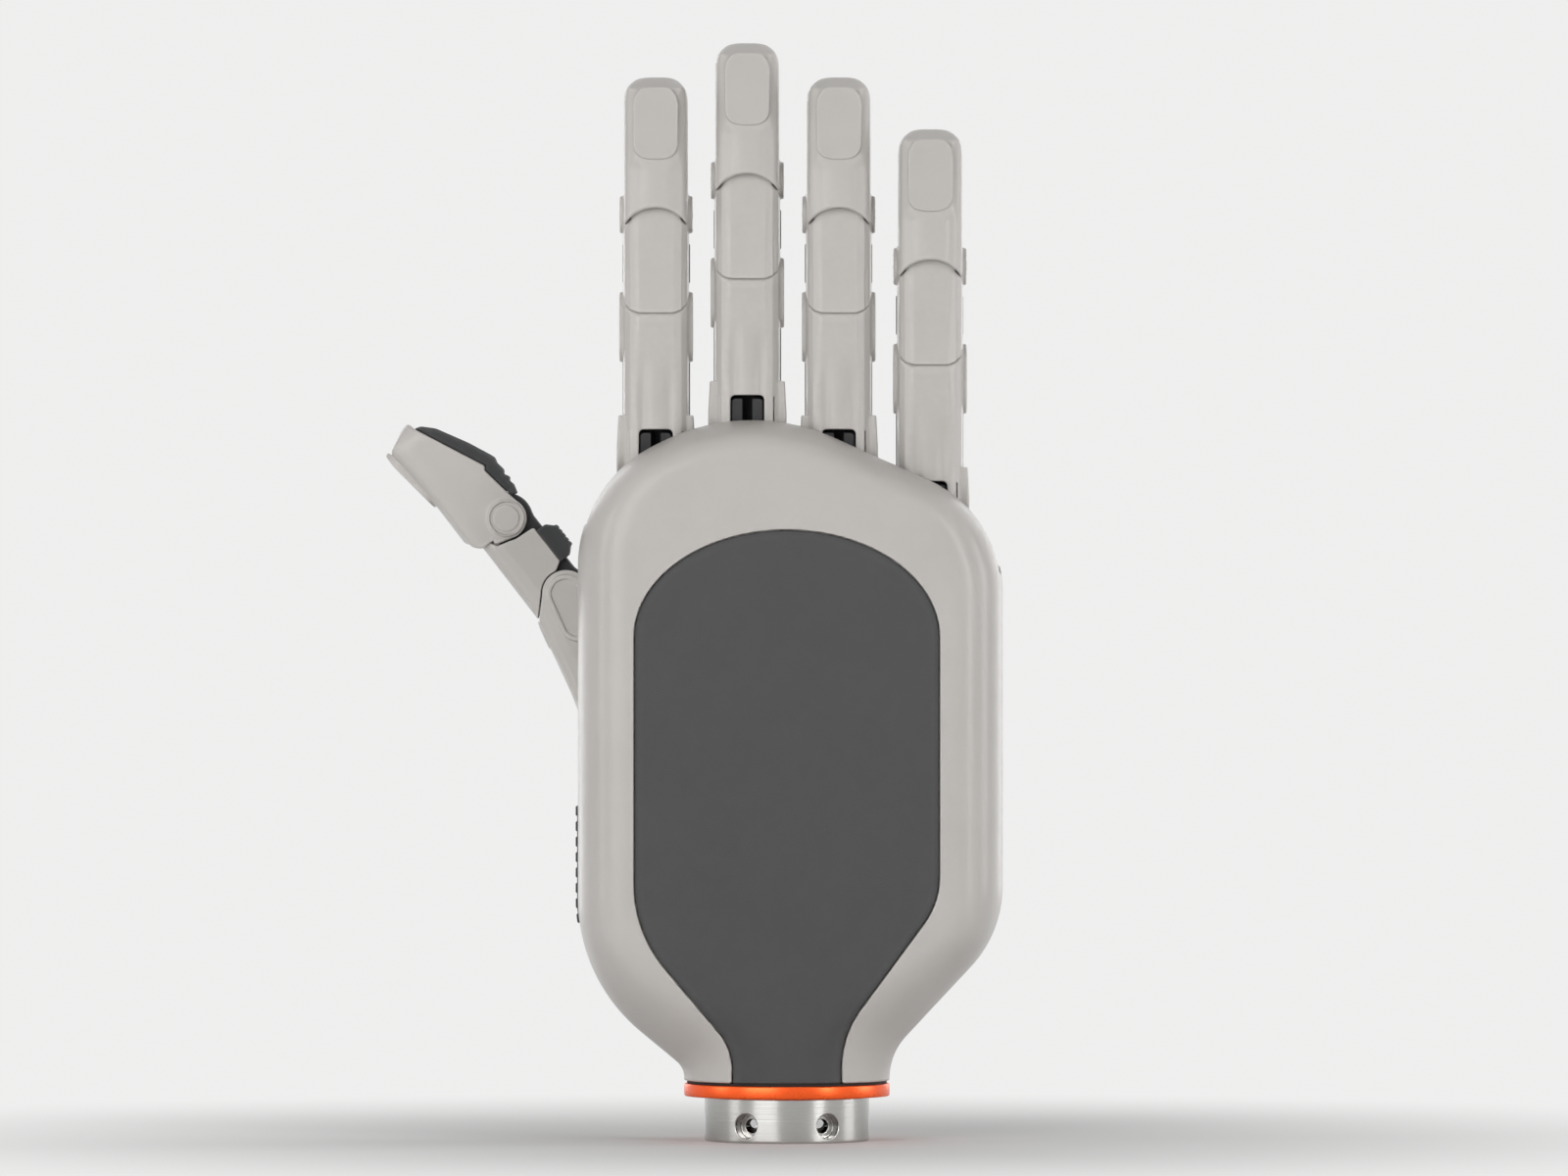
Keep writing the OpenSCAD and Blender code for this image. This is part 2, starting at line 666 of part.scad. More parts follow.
// Two rows of small motors that hang under the deck, between the rails
module drive_motors() color([0.55, 0.56, 0.58]) {
    x0 = -rail_x + rail_w / 2 + motor_gap + motor_r;
    for (i = [0 : motor_count - 1], y = motor_y)
        translate([x0 - 2 * x0 * i / (motor_count - 1), y, deck_z - motor_h]) {
            cylinder(h = motor_h, r = motor_r);
            translate([0, 0, -shaft_h]) cylinder(h = shaft_h + eps, r = shaft_r);
        }
}

// ---------- wrist ----------

module wrist_gasket() color([0.05, 0.05, 0.05]) translate([0, 0, collar_h + ring_h]) difference() {
    cylinder(h = gasket_h, r = ring_d / 2 - 0.7);
    translate([0, 0, -1]) cylinder(h = 3, r = spine_r);
}

ring_edge = 0.5;
module wrist_ring() color([1, 0.36, 0.1]) translate([0, 0, collar_h]) rotate_extrude() {
    x = ring_d / 2;
    polygon([
        [spine_r, 0], [x - ring_edge, 0], [x, ring_edge], [x, ring_h - ring_edge],
        [x - ring_edge, ring_h], [spine_r, ring_h]
    ]);
}

module wrist_collar() color([0.75, 0.75, 0.73]) difference() {
    rotate_extrude() {
        x = collar_d / 2;
        polygon([[socket_d / 2, 0], [x - 0.4, 0], [x, 0.4], [x, collar_h], [socket_d / 2, collar_h]]);
    }
    for (i = [0 : 5]) rotate([0, 0, 60 * i + 30]) translate([0, 0, screw_z]) rotate([90, 0, 0]) {
        cylinder(h = collar_d, r = screw_hole_d / 2);
        translate([0, 0, collar_d / 2 - screw_head_depth]) cylinder(h = 10, r = screw_head_d / 2);
    }
}

// ---------- thumb ----------

thumb_pip = [-54.1, neck_z + 118.3];
thumb_mcp = [thumb_pip[0] + prox_len * sin(thumb_lean), thumb_y, thumb_pip[1] - prox_len * cos(thumb_lean)];
drum_at = [-33, thumb_y, neck_z + 69.3];
drum_r = drum_d / 2;
drum_top = 5;
drum_foot = -9;
bracket_foot = -14;
turn_pin_r = 3;

module at_drum() translate(drum_at) rotate([0, turn_tilt, 0]) children();
module at_thumb() translate(thumb_mcp) rotate([0, -thumb_lean, 0]) rotate([0, 0, -90]) children();
module at_thumb_mid() at_thumb() translate([0, 0, prox_len]) rotate([thumb_bend, 0, 0]) children();
module at_thumb_tip() at_thumb_mid() translate([0, 0, mid_len]) children();

module thumb_base() color(core_colour) difference() {
    union() {
        at_drum() translate([0, 0, drum_foot]) cylinder(h = drum_top - drum_foot, r = drum_r);
        translate([0, thumb_y, 0]) through(-6, 6) thumb_arm();
        translate(thumb_mcp) rotate([90, 0, 0]) cylinder(h = 2 * tongue, r = knuckle_r, center = true);
    }
    translate(thumb_mcp) rotate([90, 0, 0]) cylinder(h = far, r = pin_r + pin_clear, center = true);
    at_drum() translate([0, 0, drum_foot - 1]) cylinder(h = 11, r = turn_pin_r + pin_clear);
}

module thumb_arm() {
    a = [thumb_mcp[0], thumb_mcp[2]];
    b = [drum_at[0], drum_at[2]] + 1.5 * [sin(turn_tilt), cos(turn_tilt)];
    u = heading(a, b);
    polygon([a + 6 * dir(u + 90), a + 6 * dir(u - 90), b + 6 * dir(u - 90), b + 6 * dir(u + 90)]);
}

// Foot on the palm face that carries the turning drum
module thumb_bracket() color(core_colour) {
    at_drum() translate([0, 0, bracket_foot]) cylinder(h = drum_foot - run_gap - bracket_foot, r = drum_r);
    at_drum() translate([0, 0, drum_foot - 1]) cylinder(h = 9, r = turn_pin_r);
    difference() {
        at_drum() translate([-drum_r, -drum_r - 6, bracket_foot])
            cube([2 * drum_r, drum_r + 6, drum_foot - run_gap - bracket_foot]);
        translate([-100, face_front - 50, 0]) cube([200, 50, far]);
    }
}

// ---------- pieces of each finger, in their places ----------

module at_mcp(f) translate(f) children();
module at_pip(f) translate(f + [0, 0, prox_len]) children();
module at_dip(f) translate(f + [0, 0, prox_len + mid_len]) children();

module index_knuckle() at_mcp(index_at) knuckle();
module index_proximal_shell() at_mcp(index_at) proximal_shell();
module index_proximal_pad() at_mcp(index_at) proximal_pad();
module index_proximal_pins() at_mcp(index_at) proximal_pins();
module index_mid_shell() at_pip(index_at) mid_shell();
module index_mid_core() at_pip(index_at) mid_core();
module index_mid_pad() at_pip(index_at) mid_pad();
module index_tip_shell() at_dip(index_at) tip_shell();
module index_tip_pad() at_dip(index_at) tip_pad();
module index_tip_pin() at_dip(index_at) tip_pin();

module middle_knuckle() at_mcp(middle_at) knuckle();
module middle_proximal_shell() at_mcp(middle_at) proximal_shell();
module middle_proximal_pad() at_mcp(middle_at) proximal_pad();
module middle_proximal_pins() at_mcp(middle_at) proximal_pins();
module middle_mid_shell() at_pip(middle_at) mid_shell();
module middle_mid_core() at_pip(middle_at) mid_core();
module middle_mid_pad() at_pip(middle_at) mid_pad();
module middle_tip_shell() at_dip(middle_at) tip_shell();
module middle_tip_pad() at_dip(middle_at) tip_pad();
module middle_tip_pin() at_dip(middle_at) tip_pin();

module ring_knuckle() at_mcp(ring_at) knuckle();
module ring_proximal_shell() at_mcp(ring_at) proximal_shell();
module ring_proximal_pad() at_mcp(ring_at) proximal_pad();
module ring_proximal_pins() at_mcp(ring_at) proximal_pins();
module ring_mid_shell() at_pip(ring_at) mid_shell();
module ring_mid_core() at_pip(ring_at) mid_core();
module ring_mid_pad() at_pip(ring_at) mid_pad();
module ring_tip_shell() at_dip(ring_at) tip_shell();
module ring_tip_pad() at_dip(ring_at) tip_pad();
module ring_tip_pin() at_dip(ring_at) tip_pin();

module little_knuckle() at_mcp(little_at) knuckle();
module little_proximal_shell() at_mcp(little_at) proximal_shell();
module little_proximal_pad() at_mcp(little_at) proximal_pad();
module little_proximal_pins() at_mcp(little_at) proximal_pins();
module little_mid_shell() at_pip(little_at) mid_shell();
module little_mid_core() at_pip(little_at) mid_core();
module little_mid_pad() at_pip(little_at) mid_pad();
module little_tip_shell() at_dip(little_at) tip_shell();
module little_tip_pad() at_dip(little_at) tip_pad();
module little_tip_pin() at_dip(little_at) tip_pin();

module thumb_proximal_shell() at_thumb() proximal_shell(thumb_bend);
module thumb_proximal_pad() at_thumb() proximal_pad();
module thumb_proximal_pins() at_thumb() proximal_pins();
module thumb_mid_shell() at_thumb_mid() mid_shell();
module thumb_mid_core() at_thumb_mid() mid_core();
module thumb_mid_pad() at_thumb_mid() mid_pad();
module thumb_tip_shell() at_thumb_tip() tip_shell();
module thumb_tip_pad() at_thumb_tip() tip_pad();
module thumb_tip_pin() at_thumb_tip() tip_pin();

back_cover();
back_panel();
palm_shell();
palm_pad();
chassis();
drive_motors();
wrist_gasket();
wrist_ring();
wrist_collar();
thumb_bracket();
index_knuckle();
index_proximal_shell();
index_proximal_pad();
index_proximal_pins();
index_mid_shell();
index_mid_core();
index_mid_pad();
index_tip_shell();
index_tip_pad();
index_tip_pin();
middle_knuckle();
middle_proximal_shell();
middle_proximal_pad();
middle_proximal_pins();
middle_mid_shell();
middle_mid_core();
middle_mid_pad();
middle_tip_shell();
middle_tip_pad();
middle_tip_pin();
ring_knuckle();
ring_proximal_shell();
ring_proximal_pad();
ring_proximal_pins();
ring_mid_shell();
ring_mid_core();
ring_mid_pad();
ring_tip_shell();
ring_tip_pad();
ring_tip_pin();
little_knuckle();
little_proximal_shell();
little_proximal_pad();
little_proximal_pins();
little_mid_shell();
little_mid_core();
little_mid_pad();
little_tip_shell();
little_tip_pad();
little_tip_pin();
thumb_base();
thumb_proximal_shell();
thumb_proximal_pad();
thumb_proximal_pins();
thumb_mid_shell();
thumb_mid_core();
thumb_mid_pad();
thumb_tip_shell();
thumb_tip_pad();
thumb_tip_pin();
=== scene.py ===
import json
import math
import bpy
import numpy as np
from mathutils import Matrix, Vector


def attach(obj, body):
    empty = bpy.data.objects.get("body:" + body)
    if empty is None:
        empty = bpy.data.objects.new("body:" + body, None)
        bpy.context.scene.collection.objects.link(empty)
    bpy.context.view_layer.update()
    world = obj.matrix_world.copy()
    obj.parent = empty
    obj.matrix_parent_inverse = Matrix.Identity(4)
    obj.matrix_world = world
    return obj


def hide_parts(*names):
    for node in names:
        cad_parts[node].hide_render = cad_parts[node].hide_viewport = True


# Dexterous robot hand. Nearly every piece is modelled as a field, the signed distance in
# millimetres to its surface, whose edges and fillets are rounded, and is then meshed.
# Fingers are modelled standing on their own joint: x across, y to the grip side, z to the tip.

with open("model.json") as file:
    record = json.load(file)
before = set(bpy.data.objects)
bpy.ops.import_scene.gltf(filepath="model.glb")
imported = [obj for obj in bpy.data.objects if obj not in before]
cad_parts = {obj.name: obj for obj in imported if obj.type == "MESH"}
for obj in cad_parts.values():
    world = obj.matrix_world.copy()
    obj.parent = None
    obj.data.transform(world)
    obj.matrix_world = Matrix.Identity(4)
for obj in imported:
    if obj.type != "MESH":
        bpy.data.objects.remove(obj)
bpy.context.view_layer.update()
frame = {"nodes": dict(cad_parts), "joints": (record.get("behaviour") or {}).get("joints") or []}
MM = 0.001

# ---------- sizes in millimetres, as in the CAD ----------

# Wrist
COLLAR_R = 20.0
COLLAR_H = 10.9
SOCKET_R = 15.0
SCREW_HOLE_R = 1.7
SCREW_HEAD_R = 3.0
SCREW_HEAD_DEPTH = 3.0
SCREW_Z = 4.1
RING_R = 25.0
RING_H = 3.1
GASKET_H = 0.7
SPINE_R = 12.0

# Palm
NECK_Z = COLLAR_H + RING_H + GASKET_H
NECK_HALF = 25.0
NECK_RUN = 38.0
PALM_LEFT = 50.8
PALM_RIGHT = 52.5
BACK_Y = 24.7
FACE_Y = 13.0
EDGE_IN = 13.0
TOP_EDGE_IN = 10.0
PALM_WALL = 2.0
SEAM_Y = -1.0
VISOR_Y = -10.4
PANEL_T = 1.4
PANEL_GAP = 0.25
PALM_PAD_T = 1.2
KNUCKLE_CLEAR = 13.7

# Fingers
PROX_LEN = 34.0
MID_LEN = 23.5
TIP_LEN = 33.6
HALF_W = 8.0
FINGER_BACK = 9.3
FINGER_EDGE = 3.9
CHEEK_T = 1.6
CHEEK_IN = HALF_W - CHEEK_T
RUN_GAP = 0.35
SEAM_GAP = 0.25
TONGUE = CHEEK_IN - RUN_GAP
BOSS_X = HALF_W + 0.95
PIN_R = 1.5
PIN_CLEAR = 0.06
PAD_Y = 8.7
RIB_DEPTH = 0.7
HEEL_R = 6.5
TONGUE_R = 6.3
EAR_R = 5.8
SHOULDER_DROP = 8.0
TIP_EAR_R = 5.0
DOME_R = 9.0
BACK_CORNER = 4.6
TIP_CORNER = 6.7
STADIUM_R = 4.7
STADIUM_LEN = 17.0
WING_W = 9.4
WING_R = 6.8
WING_TOP = 8.8

# Knuckles
KNUCKLE_R = 6.2
KNUCKLE_BACK = 7.7
NOTCH_W = 8.2
NOTCH_TOP = 5.2
STEM_W = 10.0
STEM_D = 12.2
STEM_LEN = 20.0
CABLE_SLOT_W = 2.3
SPREAD_DROP = 14.0
SPREAD_PIN_R = 2.0
SPREAD_BOSS_R = 4.4
PLATE_Y = 8.4

# Thumb
THUMB_BEND = 14.3
TURN_TILT = math.radians(20)
DRUM_AT = (-33.0, 24.0, NECK_Z + 69.3)
DRUM_R = 9.0
DRUM_TOP = 5.0
DRUM_FOOT = -9.0
BRACKET_FOOT = -14.0
TURN_PIN_R = 3.0
ARM_R = 6.0

FAR = 30.0  # past the end of any finger piece
FINGERS = ("index", "middle", "ring", "little")
JOINT = {j["name"]: Vector(j["pos_m"]) / MM for j in frame["joints"]}


# ---------- field algebra ----------

def both(a, b, r=0.3):
    """Where a and b overlap; the edge between them is rounded to radius r."""
    return np.minimum(np.maximum(a, b), -r) + np.hypot(np.maximum(a + r, 0), np.maximum(b + r, 0))


def either(a, b, r=0.3):
    """a and b joined, with a fillet of radius r."""
    return -both(-a, -b, r)


def cut(a, b, r=0.3):
    """a without b, with the new edge rounded to radius r."""
    return both(a, -b, r)


def rounded_box(u, v, half_u, v0, v1, r):
    """Rectangle |u| < half_u, v0 < v < v1 with corners of radius r."""
    du = np.abs(u) - (half_u - r)
    dv = np.abs(v - (v0 + v1) / 2) - ((v1 - v0) / 2 - r)
    return np.hypot(np.maximum(du, 0), np.maximum(dv, 0)) + np.minimum(np.maximum(du, dv), 0) - r


def slab(v, low, high):
    """Layer low < v < high."""
    return np.abs(v - (low + high) / 2) - (high - low) / 2


def disc(u, v, r, cu=0.0, cv=0.0):
    """Disc, or a cylinder seen along its axis, with its centre at (cu, cv)."""
    return np.hypot(u - cu, v - cv) - r


def arcs(points, n=6):
    """Outline whose points may carry a corner radius as a third number."""
    out = []
    count = len(points)
    for i, p in enumerate(points):
        if len(p) == 2:
            out.append(tuple(p))
            continue
        here = Vector(p[:2])
        back = (Vector(points[i - 1][:2]) - here).normalized()
        on = (Vector(points[(i + 1) % count][:2]) - here).normalized()
        half = back.angle(on) / 2
        centre = here + (back + on).normalized() * (p[2] / math.sin(half))
        first = here + back * (p[2] / math.tan(half)) - centre
        turn = first.angle_signed(here + on * (p[2] / math.tan(half)) - centre)
        for k in range(n + 1):
            a = -turn * k / n
            out.append((centre.x + first.x * math.cos(a) - first.y * math.sin(a),
                        centre.y + first.x * math.sin(a) + first.y * math.cos(a)))
    return out


def outline(u, v, points):
    """Signed distance in the plane (u, v) to a closed outline."""
    nearest = np.float64(1e9)
    inside = False
    for (ax, ay), (bx, by) in zip(points, points[-1:] + points[:-1]):
        ex, ey = bx - ax, by - ay
        wu, wv = u - ax, v - ay
        t = np.clip((wu * ex + wv * ey) / (ex * ex + ey * ey), 0, 1)
        nearest = np.minimum(nearest, (wu - ex * t) ** 2 + (wv - ey * t) ** 2)
        if ay != by:
            inside = inside ^ (((ay > v) != (by > v)) & (u < ex * (v - ay) / ey + ax))
    return np.where(inside, -1.0, 1.0) * np.sqrt(nearest)


def chart(points, low, high, cell=0.5):
    """The same distance, worked out once on a grid and read between its points."""
    lines = [np.arange(a, b + cell, cell) for a, b in zip(low, high)]
    table = outline(*np.meshgrid(*lines, indexing="ij", sparse=True), points)

    def distance(u, v):
        fu = np.clip((u - low[0]) / cell, 0, len(lines[0]) - 1.001)
        fv = np.clip((v - low[1]) / cell, 0, len(lines[1]) - 1.001)
        i, j = fu.astype(int), fv.astype(int)
        fu, fv = fu - i, fv - j
        return (table[i, j] * (1 - fu) + table[i + 1, j] * fu) * (1 - fv) \
            + (table[i, j + 1] * (1 - fu) + table[i + 1, j + 1] * fu) * fv
    return distance


def smooth(z, start, length):
    """Eases from 0 at start to 1 at start + length."""
    t = np.clip((z - start) / length, 0, 1)
    return t * t * (3 - 2 * t)


def turned(y, z, degrees):
    """(y, z) seen from a frame turned about x by that many degrees."""
    c, s = math.cos(math.radians(degrees)), math.sin(math.radians(degrees))
    return y * c + z * s, z * c - y * s


# ---------- meshing ----------

def gradient(field, p, h=0.1):
    """Slope of the field at each point, from its values a step h to either side."""
    g = np.empty_like(p)
    for axis in range(3):
        step = np.zeros(3)
        step[axis] = h
        g[:, axis] = (field(*(p + step).T) - field(*(p - step).T)) / (2 * h)
    return g


def pulled(field, p, reach, rounds=3):
    """The points moved onto the surface, each time by reach at most."""
    for _ in range(rounds):
        g = gradient(field, p)
        move = g * (field(*p.T) / np.maximum((g * g).sum(1), 0.25))[:, None]
        p = p - np.clip(move, -reach, reach)
    return p


def surface_net(field, low, high, cell):
    """Points and quads of the surface inside a box: one point in each cell that it crosses."""
    lines = [np.arange(a - 2 * cell, b + 3 * cell, cell) for a, b in zip(low, high)]
    shape = tuple(len(line) for line in lines)
    d = np.broadcast_to(field(*np.meshgrid(*lines, indexing="ij", sparse=True)), shape)
    solid = d < 0
    near = (slice(None, -1), slice(1, None))
    count = sum(solid[near[i], near[j], near[k]].astype(np.int8)
                for i in (0, 1) for j in (0, 1) for k in (0, 1))
    active = (count > 0) & (count < 8)
    cells = np.argwhere(active)
    number = np.full(active.shape, -1, np.int64)
    number[active] = np.arange(len(cells))
    total = np.zeros((len(cells), 3))
    hits = np.zeros(len(cells))
    quads = []
    for axis in range(3):
        u, v = (axis + 1) % 3, (axis + 2) % 3
        unit = np.eye(3, dtype=np.int64)
        for i in (0, 1):
            for j in (0, 1):
                a = cells + i * unit[u] + j * unit[v]
                da = d[tuple(a.T)]
                db = d[tuple((a + unit[axis]).T)]
                hit = (da < 0) != (db < 0)
                t = da[hit] / (da[hit] - db[hit])
                total[hit] += a[hit] + t[:, None] * unit[axis]
                hits[hit] += 1
        inner = [slice(None, -1) if k == axis else slice(1, -1) for k in range(3)]
        ahead = [slice(1, None) if k == axis else slice(1, -1) for k in range(3)]
        low_in, high_in = solid[tuple(inner)], solid[tuple(ahead)]
        for leaving in (True, False):
            edge = np.argwhere(low_in & ~high_in if leaving else ~low_in & high_in)
            edge[:, u] += 1
            edge[:, v] += 1
            ring = [edge - unit[u] - unit[v], edge - unit[v], edge, edge - unit[u]]
            quad = np.stack([number[tuple(c.T)] for c in ring], 1)
            quads.append(quad if leaving else quad[:, ::-1])
    origin = np.array([line[0] for line in lines])
    return origin + cell * total / hits[:, None], np.concatenate(quads)


def sculpt(name, field, low, high, cell, keep=1.0):
    """Mesh of a field inside the box low to high. keep is the share of the faces that thinning leaves."""
    points, quads = surface_net(field, low, high, cell)
    points = pulled(field, points, cell / 2)
    mesh = bpy.data.meshes.new(name)
    mesh.from_pydata(points.tolist(), [], quads.tolist())
    if keep < 1:
        mesh = thinned(mesh, keep)
        points = pulled(field, positions(mesh), cell / 2)
        mesh.vertices.foreach_set("co", points.ravel())
    normals = gradient(field, points)
    normals /= np.linalg.norm(normals, axis=1)[:, None]
    mesh.polygons.foreach_set("use_smooth", [True] * len(mesh.polygons))
    mesh.normals_split_custom_set_from_vertices(normals.tolist())
    mark_edges(mesh, field, points)
    return mesh


def positions(mesh):
    """The mesh's points, one to a row."""
    co = np.empty(len(mesh.vertices) * 3)
    mesh.vertices.foreach_get("co", co)
    return co.reshape(-1, 3)


def thinned(mesh, keep):
    """The mesh with fewer faces where it is flat."""
    work = bpy.data.objects.new("work", mesh)
    bpy.context.scene.collection.objects.link(work)
    thin = work.modifiers.new("thin", "DECIMATE")
    thin.ratio = keep
    graph = bpy.context.evaluated_depsgraph_get()
    done = bpy.data.meshes.new_from_object(work.evaluated_get(graph))
    done.name = mesh.name
    bpy.data.objects.remove(work)
    bpy.data.meshes.remove(mesh)
    return done


def mark_edges(mesh, field, points, h=0.45):
    """Stores how sharply each point turns outward, for the wear on edges."""
    around = sum(field(*(points + s * h * np.eye(3)[axis]).T) for axis in range(3) for s in (-1, 1))
    bend = (around - 6 * field(*points.T)) / (h * h)
    worn = np.clip((bend - 0.25) / 1.2, 0, 1)
    attribute = mesh.attributes.new("worn", "FLOAT", "POINT")
    attribute.data.foreach_set("value", worn.astype(np.float32))


def place(name, mesh, body, matrix, material, node=None):
    """Shows a mesh as one piece that rides on a body and stands for a CAD node."""
    piece = bpy.data.objects.new(name, mesh)
    bpy.context.scene.collection.objects.link(piece)
    piece.matrix_world = matrix @ Matrix.Scale(MM, 4)
    if not mesh.materials:
        mesh.materials.append(material)
    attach(piece, body)
    if node:
        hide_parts(node)


# ---------- materials ----------

def material(name):
    """New material, with its node tree and its shader."""
    made = bpy.data.materials.new(name)
    made.use_nodes = True
    return made, made.node_tree, made.node_tree.nodes["Principled BSDF"]


def noise(tree, scale, detail=3.0, stretch=None):
    """Noise in the piece's own coordinates; scale is in features per millimetre."""
    where = tree.nodes.new("ShaderNodeTexCoord")
    source = where.outputs["Object"]
    if stretch:
        squeeze = tree.nodes.new("ShaderNodeMapping")
        squeeze.inputs["Scale"].default_value = stretch
        tree.links.new(source, squeeze.inputs["Vector"])
        source = squeeze.outputs["Vector"]
    n = tree.nodes.new("ShaderNodeTexNoise")
    n.inputs["Scale"].default_value = scale
    n.inputs["Detail"].default_value = detail
    tree.links.new(source, n.inputs["Vector"])
    return n.outputs["Fac"]


def spread(tree, value, low, high):
    """Noise, most of which lies between 0.3 and 0.7, taken to the range low to high."""
    m = tree.nodes.new("ShaderNodeMapRange")
    m.inputs["From Min"].default_value = 0.3
    m.inputs["From Max"].default_value = 0.7
    m.inputs["To Min"].default_value = low
    m.inputs["To Max"].default_value = high
    tree.links.new(value, m.inputs["Value"])
    return m.outputs["Result"]


def ramp(tree, value, stops):
    """Colour read from (position, colour) stops."""
    r = tree.nodes.new("ShaderNodeValToRGB")
    elements = r.color_ramp.elements
    while len(elements) < len(stops):
        elements.new(0.5)
    for element, (position, colour) in zip(elements, stops):
        element.position = position
        element.color = (*colour, 1)
    tree.links.new(value, r.inputs["Fac"])
    return r.outputs["Color"]


def bump(tree, shader, height, strength, distance):
    b = tree.nodes.new("ShaderNodeBump")
    b.inputs["Strength"].default_value = strength
    b.inputs["Distance"].default_value = distance
    tree.links.new(height, b.inputs["Height"])
    tree.links.new(b.outputs["Normal"], shader.inputs["Normal"])


def shade(colour, by):
    """Colour made darker or paler by a factor."""
    return tuple(c * by for c in colour)


def moulded(name, colour, roughness, unit=1.0, grain=9.0, depth=0.006, wear=0.06, coat=0.0):
    """Moulded plastic or rubber: cloudy colour, fine grain, and paler worn edges.
    unit is one millimetre in the piece's own coordinates."""
    made, tree, shader = material(name)
    clouds = noise(tree, 0.05 / unit, 4)
    body = ramp(tree, clouds, [(0.25, shade(colour, 0.965)), (0.75, shade(colour, 1.03))])
    worn = tree.nodes.new("ShaderNodeAttribute")
    worn.attribute_name = "worn"
    patchy = tree.nodes.new("ShaderNodeMath")
    patchy.operation = "MULTIPLY"
    tree.links.new(worn.outputs["Fac"], patchy.inputs[0])
    tree.links.new(spread(tree, noise(tree, 0.6 / unit, 5), 0.2, 1.0), patchy.inputs[1])
    mix = tree.nodes.new("ShaderNodeMix")
    mix.data_type = "RGBA"
    tree.links.new(patchy.outputs[0], mix.inputs["Factor"])
    tree.links.new(body, mix.inputs[6])
    mix.inputs[7].default_value = (*[min(1.0, c * (1 + wear) + wear * 0.3) for c in colour], 1)
    tree.links.new(mix.outputs[2], shader.inputs["Base Color"])
    tree.links.new(spread(tree, noise(tree, 0.3 / unit, 4), roughness - 0.035, roughness + 0.035),
                   shader.inputs["Roughness"])
    bump(tree, shader, noise(tree, grain / unit, 2), 0.35, depth * unit)
    if coat:
        shader.inputs["Coat Weight"].default_value = coat
        shader.inputs["Coat Roughness"].default_value = 0.25
    return made


def turned_metal(name, colour, roughness, unit=1.0, lines=3.0, depth=0.002, metallic=1.0):
    """Metal turned on a lathe about z: fine rings, and a finish that is a little uneven."""
    made, tree, shader = material(name)
    shader.inputs["Metallic"].default_value = metallic
    rings = noise(tree, 1.0 / unit, 2, (0.01, 0.01, lines))
    tone = ramp(tree, rings, [(0.3, shade(colour, 0.985)), (0.7, colour)])
    tree.links.new(tone, shader.inputs["Base Color"])
    tree.links.new(spread(tree, noise(tree, 0.15 / unit, 3), roughness - 0.03, roughness + 0.03),
                   shader.inputs["Roughness"])
    bump(tree, shader, rings, 0.01, depth * unit)
    return made


SHELL_COLOUR = (0.600, 0.572, 0.545)
PANEL_COLOUR = (0.064, 0.064, 0.065)
PAD_COLOUR = (0.034, 0.035, 0.037)
CORE_COLOUR = (0.022, 0.022, 0.024)
shell_finish = moulded("shell_satin", SHELL_COLOUR, 0.34, coat=0.4)
panel_finish = moulded("panel_matt", PANEL_COLOUR, 0.55, depth=0.012, wear=0.03)
pad_finish = moulded("pad_rubber", PAD_COLOUR, 0.62, grain=6.0, depth=0.03, wear=0.08)
core_finish = moulded("core_black", CORE_COLOUR, 0.48, grain=7.0, wear=0.05)
gasket_finish = moulded("gasket_rubber", (0.008, 0.008, 0.008), 0.7, grain=5.0)
ring_finish = turned_metal("ring_anodised", (1.0, 0.115, 0.012), 0.28, metallic=0.55)
collar_finish = turned_metal("collar_satin", (0.46, 0.455, 0.44), 0.2)
core_cad = moulded("core_black_cad", CORE_COLOUR, 0.48, unit=MM, grain=7.0, wear=0.0)
motor_cad = turned_metal("motor_can", (0.45, 0.46, 0.48), 0.35, unit=MM)
steel_cad = turned_metal("pin_steel", (0.42, 0.42, 0.43), 0.3, unit=MM)


# ---------- finger pieces ----------

NAIL_Z = (TIP_LEN - 20.6, TIP_LEN - 2.4)
NAIL_HALF_W = 5.5
PEAK_Z = TIP_LEN - 6.4
HEM_TOP = 1.4
HEM_R = 9.0
GROOVE_R = 3.95
TIP_DISC_R = 3.35


def ribs(z0, z1, y, n):
    """Crest line of n ribs at height y from z0 to z1."""
    p = (z1 - z0) / n
    line = []
    for i in range(n):
        line += [(y - RIB_DEPTH, z0 + i * p), (y, z0 + (i + 0.2) * p),
                 (y, z0 + (i + 0.75) * p), (y - RIB_DEPTH, z0 + (i + 0.95) * p)]
    return line


# Side view of the tip's shell, from its foot up the back and down the grip side
TIP_SIDE = arcs([
    (-12, -2.6), (-12, 1, 4), (-11.8, NAIL_Z[0], 12), (-12.6, PEAK_Z, 6), (-12.2, TIP_LEN - 3.9, 0.5),
    (-11.9, TIP_LEN - 3.3, 1), (-6.1, TIP_LEN - 0.4, 3), (-4.6, TIP_LEN, 0.9), (-4.2, TIP_LEN - 2.3, 0.5),
    (FINGER_EDGE, 13.2, 0.8), (3.1, 12.6, 0.3), (4.2, 4.5, 4), (4.9, 1, 2), (0, 0), (-1.34, -4.82, 1),
    (-9.4, -2.6)])
TIP_BACK = ((1, NAIL_Z[0], PEAK_Z), (-12, -11.8, -12.6))
NAIL_SIDE = arcs([
    (-11, NAIL_Z[0] - 1), (-12.25, NAIL_Z[0] - 0.2, 0.4), (-13.9, PEAK_Z, 14),
    (-13.8, TIP_LEN - 3.4, 0.45), (-13.1, TIP_LEN - 2.7, 0.35), (-12.2, TIP_LEN - 4.4), (-11, TIP_LEN - 8)])
